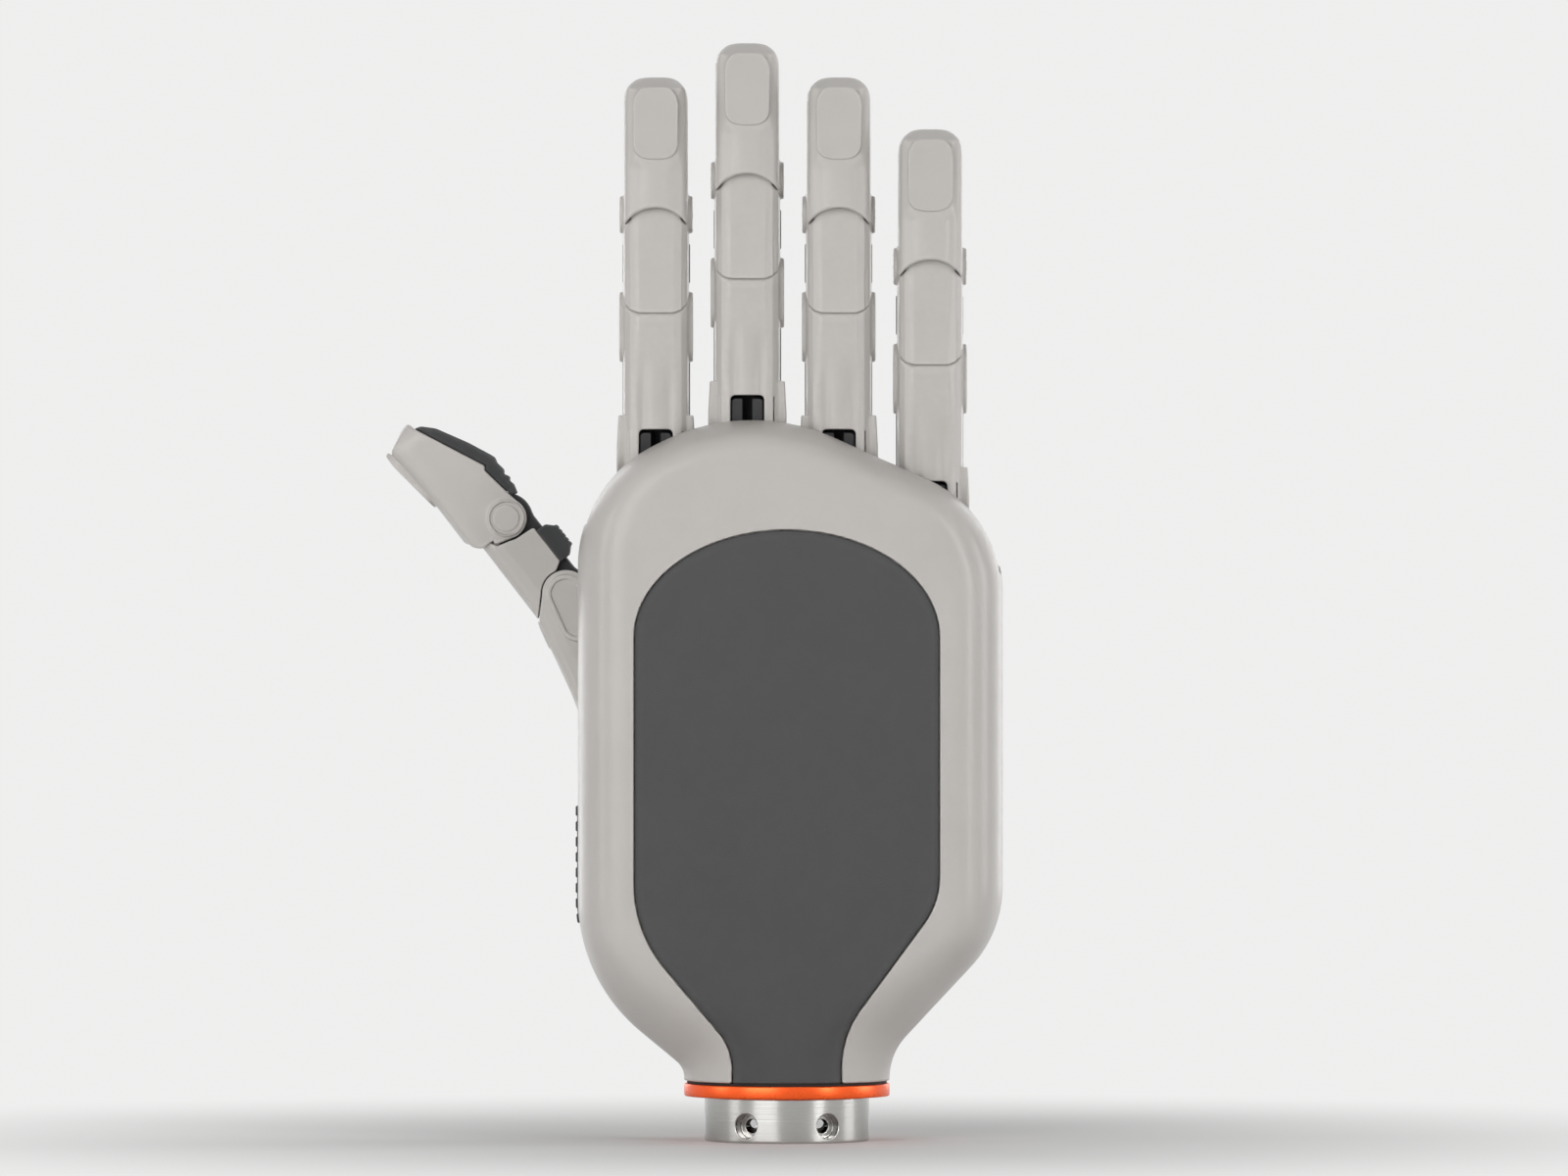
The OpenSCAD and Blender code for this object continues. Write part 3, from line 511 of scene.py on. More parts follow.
NAIL_FRONT = arcs([
    (-NAIL_HALF_W, NAIL_Z[1], 4.8), (0.1 - NAIL_HALF_W, NAIL_Z[0] + 0.7, 3.4), (0, NAIL_Z[0] - 0.1, 14),
    (NAIL_HALF_W - 0.1, NAIL_Z[0] + 0.7, 3.4), (NAIL_HALF_W, NAIL_Z[1], 4.8)])


def hem(x, z):
    """Negative below the arched hem of the fingertip's shell."""
    return disc(x, z, HEM_R, 0, HEM_TOP - HEM_R)


def tip_crown(x, z):
    """How far the back below the nail falls away to each side, up to the cheeks."""
    across = np.minimum((x / 4.4) ** 2, 1) * (1 - smooth(np.abs(x), 4.6, 2.4))
    return 0.6 * across * smooth(NAIL_Z[0] - z, -0.6, 3)


def tip_shell(x, y, z):
    back = np.interp(z, *TIP_BACK) + tip_crown(x, z)
    section = both(back - y, np.abs(x) - HALF_W, BACK_CORNER)
    front = rounded_box(x, z, HALF_W, -FAR, TIP_LEN, TIP_CORNER)
    body = both(both(outline(y, z, TIP_SIDE), section, 0.3), front, 0.9)
    nail = both(outline(y, z, NAIL_SIDE), outline(x, z, NAIL_FRONT), 0.3)
    body = either(body, nail, 0.15)
    ear = both(disc(y, z, TIP_EAR_R), np.abs(x) - HALF_W, 0.3)
    boss = both(disc(y, z, TIP_EAR_R - 0.5), np.abs(x) - BOSS_X, 0.5)
    body = either(either(body, ear, 0.3), boss, 0.25)
    body = cut(body, np.maximum(hem(x, z), y + TIP_EAR_R + 1), 0.8)
    room = np.minimum(disc(y, z, TONGUE_R + RUN_GAP), both(disc(y, z, DOME_R + 0.6), y - RUN_GAP, 0.2))
    body = cut(body, np.maximum(room, np.abs(x) - CHEEK_IN), 0.3)
    groove = both(disc(y, z, GROOVE_R), BOSS_X - 0.45 - np.abs(x), 0.2)
    return cut(body, groove, 0.25)


def tip_disc(x, y, z):
    """The disc in the end joint's boss, with the pin behind it."""
    face = both(disc(y, z, TIP_DISC_R), np.abs(x) - BOSS_X + 0.12, 0.45)
    rim = both(face, HALF_W - 0.2 - np.abs(x), 0.1)
    return either(rim, both(disc(y, z, PIN_R), np.abs(x) - HALF_W, 0.2), 0.1)


TIP_PAD_SIDE = arcs([
    (-4.2, TIP_LEN - 2.3), (-2.5, TIP_LEN - 2.9, 1.0), (0.1, TIP_LEN - 5.6, 5), (4.1, TIP_LEN - 13.1, 12),
    (7.1, 13.6, 0.7), (6.6, 12.2, 0.4), (7.0, 9.9, 0.5), (6.2, 9, 0.3), (7.1, 7.6, 0.4), (6.3, 6.9, 0.3),
    (6.6, 5.6, 0.4), (5.9, 3.2, 0.5), (4.35, 3.6), (4.2, 4.5), (3.1, 12.6), (FINGER_EDGE, 13.2)])


def tip_pad(x, y, z):
    section = rounded_box(x, y, HALF_W - 0.6, -FAR, 7.4, 2.4)
    front = rounded_box(x, z, HALF_W - 0.8, -FAR, TIP_LEN - 1.2, TIP_CORNER - 1)
    pad = both(both(outline(y, z, TIP_PAD_SIDE), section, 0.8), front, 1.0)
    room = np.maximum(disc(y, z, TONGUE_R + RUN_GAP), np.abs(x) - CHEEK_IN)
    return cut(pad, room, 0.2)


BACK_SECTION = arcs([
    (-5, -FINGER_BACK), (4.2, -FINGER_BACK, 0.4), (6.2, -FINGER_BACK + 0.8, 0.8),
    (7.5, -FINGER_BACK + 2.2, 1.2), (HALF_W, -FINGER_BACK + 4.6, 1.5), (HALF_W, FAR), (-5, FAR)])


def finger_section(x, y):
    """Section of the two lower segments: a flat back with a bevel down to each side."""
    return outline(np.abs(x), y, BACK_SECTION)


def shoulder_r(o):
    """Distance of the shoulder's straight face from the joint's axis."""
    return EAR_R - 0.05 + o


def shoulder(y, z, o):
    """Ear of the first segment and its straight shoulder down to the back, o larger all round."""
    slope = (z - y) / math.sqrt(2) - shoulder_r(o)
    wedge = np.maximum(np.maximum(slope, (y + z) / math.sqrt(2)), np.maximum(-z - SHOULDER_DROP, y))
    return np.minimum(disc(y, z, EAR_R + o), wedge)


def seam_z(o):
    """Where the shoulder meets the back."""
    return shoulder_r(o) * math.sqrt(2) - FINGER_BACK


ROOF_Z = seam_z(SEAM_GAP)
MID_CHEEK = arcs([
    (-FINGER_BACK - 0.1, ROOF_Z), (-DOME_R - 0.05, MID_LEN - 3.1), (-1.3, MID_LEN - 5.3),
    (FINGER_EDGE, MID_LEN - 5.9, 0.6), (FINGER_EDGE, 7.2, 0.5), (0, 5), (-4, ROOF_Z)])
HOOD_IN = 7.1
ROOF_IN = 7.4
MID_ROOF = [(-FINGER_BACK - 0.1, ROOF_Z), (-DOME_R, MID_LEN), (-ROOF_IN, MID_LEN), (-ROOF_IN, ROOF_Z)]


def mid_shell(x, y, z):
    side = cut(outline(y, z, MID_CHEEK), disc(y, z, TIP_EAR_R + RUN_GAP + 0.1, 0, MID_LEN), 0.25)
    side = np.maximum(side, CHEEK_IN - np.abs(x))
    roof = outline(y, z, MID_ROOF)
    crown = np.maximum(disc(y, z, DOME_R, 0, MID_LEN), np.maximum(MID_LEN - 5 - z, y))
    top = np.minimum(crown, roof)
    dome = both(cut(top, disc(y, z, TONGUE_R + 0.1, 0, MID_LEN), 0.1), np.abs(x) - TONGUE, 0.3)
    hood = both(cut(top, disc(y, z, HOOD_IN, 0, MID_LEN), 0.1), hem(x, z - MID_LEN) + SEAM_GAP, 0.2)
    plate = np.maximum(roof, np.maximum(np.abs(x) - CHEEK_IN - 0.1, z - MID_LEN + 3.2))
    shell = np.minimum(np.minimum(side, plate), np.minimum(dome, hood))
    shell = cut(shell, shoulder(y, z, SEAM_GAP), 0.2)
    return both(shell, finger_section(x, y), 0.3)


MID_CORE_BODY = [(-5.9, 0), (5.6, 0), (5.6, MID_LEN), (-5.9, MID_LEN)]


def mid_core(x, y, z):
    side = either(disc(y, z, HEEL_R), disc(y, z, TONGUE_R, 0, MID_LEN), 0.5)
    side = either(side, outline(y, z, MID_CORE_BODY), 0.5)
    side = cut(side, disc(y, z, PIN_R + PIN_CLEAR), 0.1)
    side = cut(side, disc(y, z, PIN_R + PIN_CLEAR, 0, MID_LEN), 0.1)
    return both(side, np.abs(x) - TONGUE, 0.4)


PAD_STEP_Y = 6.6


def ribbed_pad(z0, z1, n, under):
    """Field of a grip pad from z0 to z1 with n ribs; between the cheeks it is hollow below y = under."""
    side = arcs([(FINGER_EDGE, z0), (PAD_STEP_Y, z0 + 0.2, 0.8)] + ribs(z0 + 1.6, z1 - 1.6, PAD_Y, n)
                + [(PAD_STEP_Y, z1 - 0.2, 0.8), (FINGER_EDGE, z1)])

    def field(x, y, z):
        section = rounded_box(x, y, HALF_W + 0.2, -FAR, PAD_Y + 0.2, 3)
        pad = both(outline(y, z, side) - 0.12, section, 0.35)
        return cut(both(pad, FINGER_EDGE - y, 0.15), np.maximum(y - under, np.abs(x) - CHEEK_IN), 0.1)
    return field


def stadium(y, z, r):
    """Long boss that runs down each side from the middle joint."""
    low = PROX_LEN - STADIUM_LEN + 2 * STADIUM_R
    return np.hypot(y, np.maximum(np.maximum(low - z, z - PROX_LEN), 0)) - r


PROX_SIDE = arcs([
    (-FINGER_BACK, PROX_LEN + seam_z(0)), (-FINGER_BACK + 0.35, 20, 60), (-FINGER_BACK + 0.5, 11, 40),
    (-FINGER_BACK, 2, 30), (-FINGER_BACK, -6), (-7, -6.4), (-4, 2), (2, 5, 4), (FINGER_EDGE, 7.3, 1),
    (FINGER_EDGE, PROX_LEN - 6, 1), (0, PROX_LEN + seam_z(0))])
WING_FRONT = [
    (-HALF_W - 1.1, WING_TOP), (HALF_W + 1.1, WING_TOP), (WING_W + 0.1, 1), (WING_W + 0.2, -10),
    (-WING_W - 0.2, -10), (-WING_W - 0.1, 1)]


def ridges(x, z):
    """Depth of the relief on the first segment's back: a soft middle ridge between two valleys."""
    crown = 0.35 * smooth(PROX_LEN - 7 - z, 0, 9) * (1 - np.exp(-(x / 2.6) ** 2))
    valleys = 0.45 * smooth(PROX_LEN - 10 - z, 0, 14) * np.exp(-((np.abs(x) - 3.1) / 1.1) ** 2)
    return crown + valleys


BACK_LINE = ((-6, 2, 11, 20, PROX_LEN), (0, 0, 0.5, 0.35, 0))


def backline(z, bend):
    """Limit of the ear on the back: a little under the first segment's back, or past it at a bent joint."""
    sunk = 0.5 * smooth(PROX_LEN - 2 - z, 0, 3)
    return np.interp(z, *BACK_LINE) - FINGER_BACK - (4 if bend else 0) + sunk


def wings(x, y, z):
    """Ears at the knuckle, flaring a little towards the palm."""
    side = np.maximum(slab(y, -WING_R, FINGER_EDGE), slab(z, 0, WING_TOP))
    wing = both(np.minimum(disc(y, z, WING_R), side), outline(x, z, WING_FRONT), 0.6)
    return both(wing, slab(np.abs(x), CHEEK_IN, WING_W + 1), 0.2)


def knuckle_room(y, z):
    """Side view of the room between the cheeks for the knuckle."""
    behind = -KNUCKLE_BACK - y
    room = np.minimum(disc(y, z, KNUCKLE_R + RUN_GAP), np.maximum(behind, z))
    return np.minimum(room, np.maximum(slab(y, -KNUCKLE_BACK, 0), slab(z, -1, 4.8)))


def proximal_shell(bend):
    """Field of the first segment's shell, whose far joint is bent by that many degrees."""
    def field(x, y, z):
        inside = np.abs(x) - CHEEK_IN
        yb, zb = turned(y, z - PROX_LEN, bend)
        under = y - np.where(y < -4, ridges(x, z), 0)
        lower = np.hypot(y, np.minimum(z, 0)) - FINGER_BACK - 0.3
        body = both(outline(under, z, PROX_SIDE), lower, 0.2)
        body = cut(body, np.maximum(seam_z(0) - zb, yb), 0.2)
        ear = np.maximum(shoulder(yb, zb, 0), backline(z, bend) - under)
        shell = both(either(body, ear, 0.15), finger_section(x, under), 0.3)
        shell = either(shell, both(stadium(y, z, STADIUM_R), np.abs(x) - BOSS_X, 0.45), 0.25)
        shell = either(shell, wings(x, y, z), 0.3)
        shell = cut(shell, np.maximum(disc(y, z, HEEL_R + RUN_GAP, 0, PROX_LEN), inside), 0.25)
        shell = cut(shell, np.maximum(knuckle_room(y, z), inside), 0.25)
        notch = np.maximum(rounded_box(x, z, NOTCH_W / 2, -FAR, NOTCH_TOP, 1.2), y)
        shell = cut(shell, notch, 0.35)
        well = both(stadium(y, z, STADIUM_R - 1.1), BOSS_X - 0.3 - np.abs(x), 0.15)
        return cut(shell, well, 0.2)
    return field


prox_ribs = ribbed_pad(7.4, PROX_LEN - 7, 8, 5)


def proximal_pad(x, y, z):
    bosses = np.maximum(stadium(y, z, STADIUM_R + 0.15), HALF_W - 0.6 - np.abs(x))
    return cut(prox_ribs(x, y, z), bosses, 0.1)


def knuckle(x, y, z):
    drum = both(disc(y, z, KNUCKLE_R), np.abs(x) - TONGUE, 0.4)
    stem = both(rounded_box(x, y, STEM_W / 2, -STEM_D / 2, STEM_D / 2, 0.6), slab(z, -STEM_LEN, 0), 0.3)
    block = both(rounded_box(x, z, NOTCH_W / 2 - 0.25, -9, NOTCH_TOP - 0.8, 0.9), slab(y, -8, 0), 0.4)
    swivel = both(disc(x, z, SPREAD_BOSS_R, 0, -SPREAD_DROP), np.abs(y) - (PLATE_Y - RUN_GAP), 0.3)
    body = either(either(either(drum, stem, 0.3), block, 0.2), swivel, 0.3)
    slot = np.maximum(np.maximum(np.abs(x) - CABLE_SLOT_W / 2, slab(y, -9.4, -2.6)), -8 - z)
    body = cut(body, slot, 0.25)
    body = cut(body, disc(y, z, PIN_R + PIN_CLEAR), 0.1)
    return cut(body, disc(x, z, SPREAD_PIN_R + PIN_CLEAR, 0, -SPREAD_DROP), 0.1)


# ---------- palm ----------

TOP_VERTEX = (-9.6, NECK_Z + 166.1, 49)
palm_edge = chart(arcs([
    (NECK_HALF, NECK_Z - 40), (NECK_HALF, NECK_Z + 6.4, 15), (PALM_RIGHT, NECK_Z + 35.9, 29),
    (PALM_RIGHT, NECK_Z + 138.3, 30), TOP_VERTEX, (-PALM_LEFT, NECK_Z + 145.5, 33),
    (-PALM_LEFT, NECK_Z + 24.4, 42), (-NECK_HALF, NECK_Z + 3.1, 5), (-NECK_HALF, NECK_Z - 40)], 24),
    (-60, NECK_Z - 10), (60, NECK_Z + 170))
PANEL_FOOT = 13.3
PANEL_SIDE = 37
PANEL_BEVEL = 1.3
PANEL_ARCH = 26
PANEL_SHOULDER = NECK_Z + 107.8
panel_edge = chart(arcs([
    (PANEL_FOOT, NECK_Z - 30), (PANEL_FOOT, NECK_Z + 11.6, 24), (PANEL_SIDE, NECK_Z + 43.7, 20),
    *[(PANEL_SIDE * math.cos(math.radians(a)), PANEL_SHOULDER + PANEL_ARCH * math.sin(math.radians(a)))
      for a in range(0, 181, 4)],
    (-PANEL_SIDE, NECK_Z + 36.6, 32), (-PANEL_FOOT, NECK_Z + 8.4, 14), (-PANEL_FOOT, NECK_Z - 30)], 24),
    (-45, NECK_Z - 10), (45, NECK_Z + 145))


def palm_skin(x, y, z, side):
    """Distance to the palm's outer surface; side is -1 for the back and 1 for the face."""
    neck = 1 - smooth(z, NECK_Z, NECK_RUN)
    crown = smooth(z, NECK_Z + 125, 25)
    inset = (EDGE_IN + (TOP_EDGE_IN - EDGE_IN) * crown) * (1 - neck) + (NECK_HALF - 0.8) * neck
    power = 2 / (0.8 + 0.2 * neck)
    reach = BACK_Y if side < 0 else FACE_Y * (1 - neck) + (NECK_HALF - 0.3) * neck
    depth = reach - side * SEAM_Y
    q = np.maximum(inset + palm_edge(x, z), 0) / inset
    w = np.maximum((y - SEAM_Y) * side, 0) / depth
    n = (q ** power + w ** power + 1e-9) ** (1 / power)
    slope = n ** (1 - power) * np.hypot(q ** (power - 1) / inset, w ** (power - 1) / depth)
    return np.clip((n - 1) / np.maximum(slope, 1e-3), -8, 8)


def above_visor(x, z):
    """Positive above the line where the back cover keeps only its visor."""
    left, right = NECK_Z + 139, NECK_Z + 120
    slope = (right - left) / 160
    return (z - left - slope * (x + 80)) / math.hypot(1, slope)


def back_cover(x, y, z):
    skin = palm_skin(x, y, z, -1)
    wall = cut(skin, skin + PALM_WALL, 0.3)
    wall = both(wall, y - SEAM_Y, 0.35)
    wall = cut(wall, both(-above_visor(x, z), VISOR_Y - y, 0.3), 0.45)
    wall = cut(wall, np.maximum(panel_edge(x, z), -(skin + PANEL_T)), 0.3)
    return both(wall, NECK_Z - z, 0.35)


def back_panel(x, y, z):
    skin = palm_skin(x, y, z, -1)
    rim = panel_edge(x, z) + PANEL_GAP
    plate = both(both(skin + 0.1, skin + 0.1 + 0.22 * (rim + PANEL_BEVEL), 0.05), rim, 0.3)
    plate = both(plate, -(skin + PANEL_T), 0.1)
    return both(np.maximum(plate, y + 5), NECK_Z - z, 0.3)


def palm_top_line():
    """Outline of what lies above the palm shell's upper edge, under the swing of the grip pads."""
    fx = [JOINT[f + "_flex"].x for f in FINGERS]
    fz = [JOINT[f + "_flex"].z - KNUCKLE_CLEAR for f in FINGERS]
    return [(-90, fz[0] - 5), (fx[0] - 9, fz[0] - 5, 2), (fx[0] - 4, fz[0], 3), (fx[0] + 9, fz[0], 4),
            (fx[1] - 8, fz[1], 4), (fx[1] + 8, fz[1], 4), (fx[2] - 9, fz[2], 4), (fx[2] + 7, fz[2], 4),
            (fx[3] - 8, fz[3], 4), (fx[3] + 9, fz[3], 3), (90, fz[3] - 8), (90, 300), (-90, 300)]


palm_top = chart(arcs(palm_top_line()), (-60, 120), (60, 180))


def palm_shell(x, y, z):
    skin = palm_skin(x, y - RUN_GAP, z, 1)
    wall = cut(skin, skin + PALM_WALL, 0.3)
    wall = both(wall, SEAM_Y + RUN_GAP - y, 0.35)
    wall = cut(wall, palm_top(x, z), 0.6)
    return both(wall, NECK_Z - z, 0.35)


FACE_FRONT = FACE_Y + RUN_GAP
PAD_X = (-6, 38)
PAD_Z = (NECK_Z + 50, NECK_Z + 118)
PALM_RIBS = [
    (FACE_FRONT, PAD_Z[0] - 1), *ribs(*PAD_Z, FACE_FRONT + PALM_PAD_T, 17), (FACE_FRONT, PAD_Z[1] + 1)]


def face_pad(x, y, z):
    middle = sum(PAD_X) / 2
    plan = rounded_box(x - middle, z, (PAD_X[1] - PAD_X[0]) / 2, *PAD_Z, 9)
    pad = both(outline(y, z, PALM_RIBS) - 0.05, plan, 0.4)
    return both(pad, FACE_FRONT - y, 0.1)


GRIP_Z = (NECK_Z + 38, NECK_Z + 68)
GRIP_PITCH = (GRIP_Z[1] - GRIP_Z[0]) / 8


def edge_grip(x, y, z):
    skin = palm_skin(x, y - RUN_GAP, z, 1)
    rib = np.abs((z - GRIP_Z[0]) / GRIP_PITCH % 1 - 0.32) * GRIP_PITCH - 0.32 * GRIP_PITCH
    side = np.maximum(x + 40, slab(y, 0.9, 11.7))
    band = np.maximum(slab(z, GRIP_Z[0] + 0.2, GRIP_Z[1] - 1.2), side)
    base = both(skin - 0.3, band, 0.2)
    raised = both(both(skin - 0.65, rib, 0.3), band, 0.3)
    return np.maximum(either(base, raised, 0.15), -0.15 - skin)


# ---------- wrist ----------

def lathed(name, profile, steps=192):
    """Ring turned from a closed [r, z] profile, whose points run anticlockwise."""
    line = arcs(profile, 4)
    n = len(line)
    points = [(r * math.cos(a), r * math.sin(a), z)
              for a in (math.tau * i / steps for i in range(steps)) for r, z in line]
    quads = [(i * n + j, (i + 1) % steps * n + j, (i + 1) % steps * n + (j + 1) % n, i * n + (j + 1) % n)
             for i in range(steps) for j in range(n)]
    mesh = bpy.data.meshes.new(name)
    mesh.from_pydata(points, [], quads)
    mesh.polygons.foreach_set("use_smooth", [True] * len(quads))
    return mesh


RING_TOP = COLLAR_H + RING_H
GASKET_R = RING_R - 0.7
RING_PROFILE = [
    (SPINE_R, COLLAR_H, 0.3), (RING_R, COLLAR_H, 0.45), (RING_R, RING_TOP, 0.45), (SPINE_R, RING_TOP, 0.3)]
GASKET_PROFILE = [
    (SPINE_R, RING_TOP, 0.1), (GASKET_R, RING_TOP, 0.15), (GASKET_R, NECK_Z, 0.15), (SPINE_R, NECK_Z, 0.1)]


def wrist_collar(x, y, z):
    r = np.hypot(x, y)
    wall = cut(both(r - COLLAR_R, slab(z, 0, COLLAR_H), 0.4), r - SOCKET_R, 0.3)
    for i in range(6):
        a = math.radians(60 * i - 60)
        across = x * math.sin(a) - y * math.cos(a)
        out = x * math.cos(a) + y * math.sin(a)
        hole = np.hypot(across, z - SCREW_Z)
        head = np.maximum(hole - SCREW_HEAD_R, COLLAR_R - SCREW_HEAD_DEPTH - out)
        wall = cut(wall, np.maximum(np.minimum(hole - SCREW_HOLE_R, head), -out), 0.2)
    return wall


# ---------- thumb ----------

thumb_mcp = JOINT["thumb_extend"]


def drum_frame(x, y, z):
    """The point seen from the tilted drum, whose axis is the third coordinate."""
    c, s = math.cos(TURN_TILT), math.sin(TURN_TILT)
    dx, dy, dz = x - DRUM_AT[0], y - DRUM_AT[1], z - DRUM_AT[2]
    return dx * c - dz * s, dy, dx * s + dz * c


def thumb_base(x, y, z):
    u, v, w = drum_frame(x, y, z)
    drum = both(disc(u, v, DRUM_R), slab(w, DRUM_FOOT, DRUM_TOP), 0.8)
    end = (DRUM_AT[0] + 1.5 * math.sin(TURN_TILT), DRUM_AT[2] + 1.5 * math.cos(TURN_TILT))
    ex, ez = end[0] - thumb_mcp.x, end[1] - thumb_mcp.z
    px, pz = x - thumb_mcp.x, z - thumb_mcp.z
    t = np.clip((px * ex + pz * ez) / (ex * ex + ez * ez), 0, 1)
    arm = both(np.hypot(px - ex * t, pz - ez * t) - ARM_R, np.abs(y - DRUM_AT[1]) - ARM_R, 0.6)
    hub = both(np.hypot(px, pz) - KNUCKLE_R, np.abs(y - DRUM_AT[1]) - TONGUE, 0.5)
    body = either(either(drum, arm, 1.2), hub, 0.3)
    body = cut(body, np.hypot(px, pz) - PIN_R - PIN_CLEAR, 0.15)
    return cut(body, np.maximum(disc(u, v, TURN_PIN_R + PIN_CLEAR), w - 1), 0.15)


def thumb_bracket(x, y, z):
    u, v, w = drum_frame(x, y, z)
    seat = slab(w, BRACKET_FOOT, DRUM_FOOT - RUN_GAP)
    foot = both(disc(u, v, DRUM_R), seat, 0.5)
    neck = both(np.maximum(np.abs(u) - DRUM_R, slab(v, -DRUM_R - 6, 0)), seat, 0.5)
    body = either(foot, np.maximum(neck, FACE_FRONT + 0.02 - y), 0.2)
    return either(body, both(disc(u, v, TURN_PIN_R), slab(w, DRUM_FOOT - 1, -1), 0.3), 0.2)


# ---------- frames of the segments ----------

def standing(at, towards, across):
    """Matrix of a segment at a joint: z towards the next joint, x across."""
    up = (towards - at).normalized()
    side = up.cross(across)
    m = Matrix((across, side, up)).transposed().to_4x4()
    m.translation = at * MM
    return m


def finger_frames(finger):
    """Matrices of a finger's three segments."""
    hinges = ("extend", "unfold", "tip_unfold") if finger == "thumb" else ("flex", "curl", "tip_curl")
    across = Vector((0, -1, 0)) if finger == "thumb" else Vector((1, 0, 0))
    a, b, c = (JOINT[f"{finger}_{hinge}"] for hinge in hinges)
    return standing(a, b, across), standing(b, c, across), standing(c, c + (c - b), across)


# ---------- build ----------

# Cell sizes of the fingers' meshes, and half the width of the boxes that hold the bosses
FINGER_CELL = 0.36
PAD_CELL = 0.34
BOX_X = BOSS_X + 0.1


def finger_parts(parts):
    """Meshes of a segment's pieces, each as (part, mesh, slot, finish)."""
    return [(part, sculpt(part, field, low, high, cell), slot, finish)
            for part, field, low, high, cell, slot, finish in parts]


tip_meshes = finger_parts((
    ("tip_shell", tip_shell, (-BOX_X, -14, -6), (BOX_X, 6, TIP_LEN + 0.2), FINGER_CELL,
     "shell", shell_finish),
    ("tip_pad", tip_pad, (-HALF_W, -5, 2.8), (HALF_W, 7.5, TIP_LEN), PAD_CELL, "pad", pad_finish),
    ("tip_pin", tip_disc, (-BOX_X, -3.6, -3.6), (BOX_X, 3.6, 3.6), PAD_CELL, "pin_cap", shell_finish),
))
mid_meshes = finger_parts((
    ("mid_shell", mid_shell, (-HALF_W, -9.6, -1), (HALF_W, 4, MID_LEN + 9), FINGER_CELL,
     "shell", shell_finish),
    ("mid_core", mid_core, (-TONGUE, -6.6, -6.6), (TONGUE, 6.6, MID_LEN + 6.6), FINGER_CELL,
     "core", core_finish),
    ("mid_pad", ribbed_pad(7, MID_LEN - 7, 5, 5.7), (-8.3, 3.8, 6.8), (8.3, 9, MID_LEN - 6.8), PAD_CELL,
     "pad", pad_finish),
))
pad_mesh = sculpt("proximal_pad", proximal_pad, (-8.3, 3.8, 7), (8.3, 9, PROX_LEN - 6.8), PAD_CELL)
prox_box = ((-9.8, -9.8, -9.8), (9.8, 7.2, PROX_LEN + 6))
prox_mesh = sculpt("proximal_shell", proximal_shell(0), *prox_box, FINGER_CELL)
thumb_prox_mesh = sculpt("thumb_proximal_shell", proximal_shell(THUMB_BEND), *prox_box, FINGER_CELL)
knuckle_mesh = sculpt("knuckle", knuckle, (-6.2, -8.2, -20.2), (6.2, 8.2, 6.4), FINGER_CELL)

for finger in (*FINGERS, "thumb"):
    first, second, third = finger_frames(finger)
    shell_mesh = thumb_prox_mesh if finger == "thumb" else prox_mesh
    for matrix, body, meshes in (
            (first, finger + "_proximal", [("proximal_shell", shell_mesh, "shell", shell_finish),
                                           ("proximal_pad", pad_mesh, "pad", pad_finish)]),
            (second, finger + "_mid", mid_meshes), (third, finger + "_tip", tip_meshes)):
        for part, mesh, slot, finish in meshes:
            node = f"{finger}_{part}"
            place(node + "_look", mesh, body, matrix, finish, node)
    if finger != "thumb":
        body = "palm" if finger == "middle" else finger + "_knuckle"
        place(finger + "_knuckle_look", knuckle_mesh, body, first, core_finish, finger + "_knuckle")

still = Matrix.Identity(4)
PALM_PIECES = (
    ("back_cover", back_cover, (-52, -25.2, NECK_Z), (53.5, 0, 177), 0.55, 0.5, "shell", shell_finish),
    ("back_panel", back_panel, (-38, -25.2, NECK_Z), (38, -10, 150), 0.55, 0.5, "panel", panel_finish),
    ("palm_shell", palm_shell, (-52, -2, NECK_Z), (53.5, 26.5, 164), 0.7, 0.5, "shell", shell_finish),
    ("palm_pad", face_pad, (-7, 13, 64), (39, 15, 134), 0.4, 0.6, "pad", pad_finish),
    ("wrist_collar", wrist_collar, (-20.2, -20.2, -0.2), (20.2, 20.2, 11), 0.25, 0.6,
     "collar", collar_finish),
    ("thumb_bracket", thumb_bracket, (-50, 12, 64), (-20, 34, 86), 0.5, 0.8, "core", core_finish),
)
for node, field, low, high, cell, keep, slot, finish in PALM_PIECES:
    mesh = sculpt(node, field, low, high, cell, keep)
    place(node + "_look", mesh, "palm", still, finish, node)
place("wrist_ring_look", lathed("wrist_ring", RING_PROFILE), "palm", still, ring_finish, "wrist_ring")
place("wrist_gasket_look", lathed("wrist_gasket", GASKET_PROFILE), "palm", still, gasket_finish,
      "wrist_gasket")
grip = sculpt("edge_grip", edge_grip, (-52, 0, NECK_Z + 37), (-40, 13, NECK_Z + 69), 0.22)
place("edge_grip_look", grip, "palm", still, pad_finish)
base = sculpt("thumb_base", thumb_base, (-48, 14, 72), (-22, 34, 110), 0.45)
place("thumb_base_look", base, "thumb_base", still, core_finish, "thumb_base")

for name, node in frame["nodes"].items():
    if node.hide_render:
        continue
    finish = motor_cad if name == "drive_motors" else steel_cad if name.endswith("_pins") else core_cad
    node.data.materials.clear()
    node.data.materials.append(finish)


# ---------- floor, lights and camera ----------

BACKGROUND = (0.86, 0.86, 0.855)
WORLD_LIGHT = 0.03
FLOOR_HALF = 4.0
AIM = Vector((0, 0, 0.13))


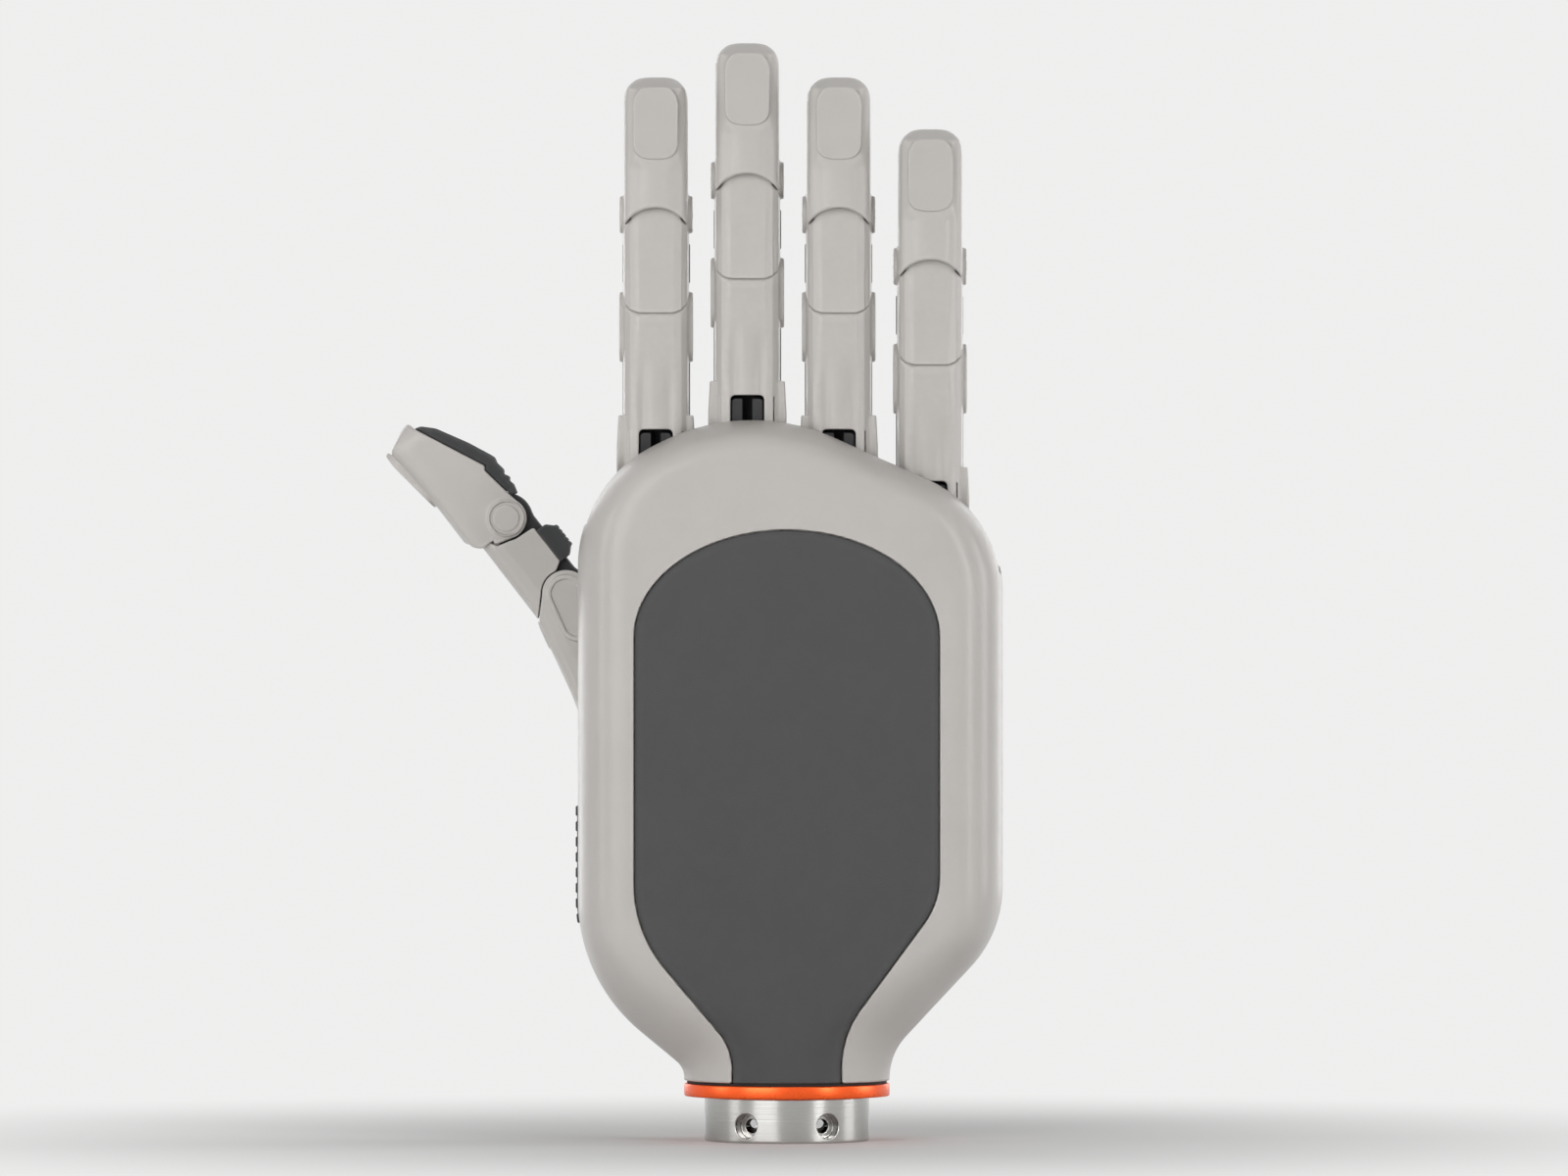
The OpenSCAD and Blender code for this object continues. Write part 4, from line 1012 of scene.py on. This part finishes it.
def seen_rays(tree):
    """1 for the rays that show the background: straight to the camera, reflected or refracted."""
    path = tree.nodes.new("ShaderNodeLightPath")
    total = path.outputs["Is Camera Ray"]
    for kind in ("Is Glossy Ray", "Is Transmission Ray"):
        add = tree.nodes.new("ShaderNodeMath")
        add.use_clamp = True
        tree.links.new(total, add.inputs[0])
        tree.links.new(path.outputs[kind], add.inputs[1])
        total = add.outputs[0]
    return total


def pale_floor():
    """Floor that takes the object's shadow and away from it turns into the background."""
    mesh = bpy.data.meshes.new("floor")
    s = FLOOR_HALF
    mesh.from_pydata([(-s, -s, 0), (s, -s, 0), (s, s, 0), (-s, s, 0)], [], [(0, 1, 2, 3)])
    floor = bpy.data.objects.new("floor", mesh)
    bpy.context.scene.collection.objects.link(floor)
    made, tree, shader = material("floor_pale")
    tone = ramp(tree, noise(tree, 3, 4), [(0.3, (0.85, 0.85, 0.845)), (0.7, (0.87, 0.87, 0.865))])
    tree.links.new(tone, shader.inputs["Base Color"])
    shader.inputs["Roughness"].default_value = 0.75
    where = tree.nodes.new("ShaderNodeNewGeometry")
    distance = tree.nodes.new("ShaderNodeVectorMath")
    distance.operation = "LENGTH"
    tree.links.new(where.outputs["Position"], distance.inputs[0])
    away = tree.nodes.new("ShaderNodeMapRange")
    away.interpolation_type = "SMOOTHSTEP"
    away.inputs["From Min"].default_value = 0.04
    away.inputs["From Max"].default_value = 0.3
    tree.links.new(distance.outputs["Value"], away.inputs["Value"])
    shown = tree.nodes.new("ShaderNodeMath")
    shown.operation = "MULTIPLY"
    tree.links.new(away.outputs["Result"], shown.inputs[0])
    tree.links.new(seen_rays(tree), shown.inputs[1])
    plain = tree.nodes.new("ShaderNodeEmission")
    plain.inputs["Color"].default_value = (*BACKGROUND, 1)
    mix = tree.nodes.new("ShaderNodeMixShader")
    tree.links.new(shown.outputs[0], mix.inputs[0])
    tree.links.new(shader.outputs[0], mix.inputs[1])
    tree.links.new(plain.outputs[0], mix.inputs[2])
    tree.links.new(mix.outputs[0], tree.nodes["Material Output"].inputs["Surface"])
    mesh.materials.append(made)


def soft_world():
    """Plain background for the rays that show it, and a weak even light for the rest."""
    world = bpy.data.worlds.new("studio")
    bpy.context.scene.world = world
    world.use_nodes = True
    tree = world.node_tree
    tree.nodes.clear()
    seen = tree.nodes.new("ShaderNodeBackground")
    lit = tree.nodes.new("ShaderNodeBackground")
    seen.inputs["Color"].default_value = (*BACKGROUND, 1)
    lit.inputs["Color"].default_value = (WORLD_LIGHT, WORLD_LIGHT, WORLD_LIGHT, 1)
    mix = tree.nodes.new("ShaderNodeMixShader")
    out = tree.nodes.new("ShaderNodeOutputWorld")
    tree.links.new(seen_rays(tree), mix.inputs["Fac"])
    tree.links.new(lit.outputs[0], mix.inputs[1])
    tree.links.new(seen.outputs[0], mix.inputs[2])
    tree.links.new(mix.outputs[0], out.inputs["Surface"])


def softbox(name, azimuth, height, size, power, distance=1.15):
    """Area lamp aimed at the hand from azimuth, in degrees from the camera's side towards the right."""
    light = bpy.data.lights.new(name, "AREA")
    light.shape = "RECTANGLE"
    light.size, light.size_y = size
    light.energy = power
    lamp = bpy.data.objects.new(name, light)
    bpy.context.scene.collection.objects.link(lamp)
    a = math.radians(azimuth)
    lamp.location = (distance * math.sin(a), -distance * math.cos(a), height)
    lamp.visible_camera = False
    lamp.rotation_euler = (AIM - lamp.location).to_track_quat("-Z", "Y").to_euler()


pale_floor()
soft_world()
softbox("key", -30, 0.38, (0.75, 0.9), 7.6)
softbox("left", -78, 0.2, (0.3, 0.9), 2.6)
softbox("right", 46, 0.38, (0.3, 0.9), 4.2)
softbox("side", 98, 0.2, (0.4, 0.9), 4.6)
softbox("rim_left", -155, 0.25, (0.2, 0.9), 1.2)
softbox("rim_right", 155, 0.25, (0.2, 0.9), 1.0)
softbox("top", 180, 1.0, (0.7, 0.5), 1.5, 0.1)

camera_data = bpy.data.cameras.new("camera")
camera = bpy.data.objects.new("camera", camera_data)
bpy.context.scene.collection.objects.link(camera)
VIEW_WIDTH = 0.38
VIEW_FROM = 3.0
VIEW_CENTRE = Vector((-0.0007, -0.012, 0.1344))
camera_data.sensor_width = 36
camera_data.lens = camera_data.sensor_width * VIEW_FROM / VIEW_WIDTH
camera.location = VIEW_CENTRE + Vector((0, -VIEW_FROM, 0))
camera.rotation_euler = (math.radians(90), 0, 0)
bpy.context.scene.camera = camera
bpy.context.scene.view_settings.view_transform = "Standard"
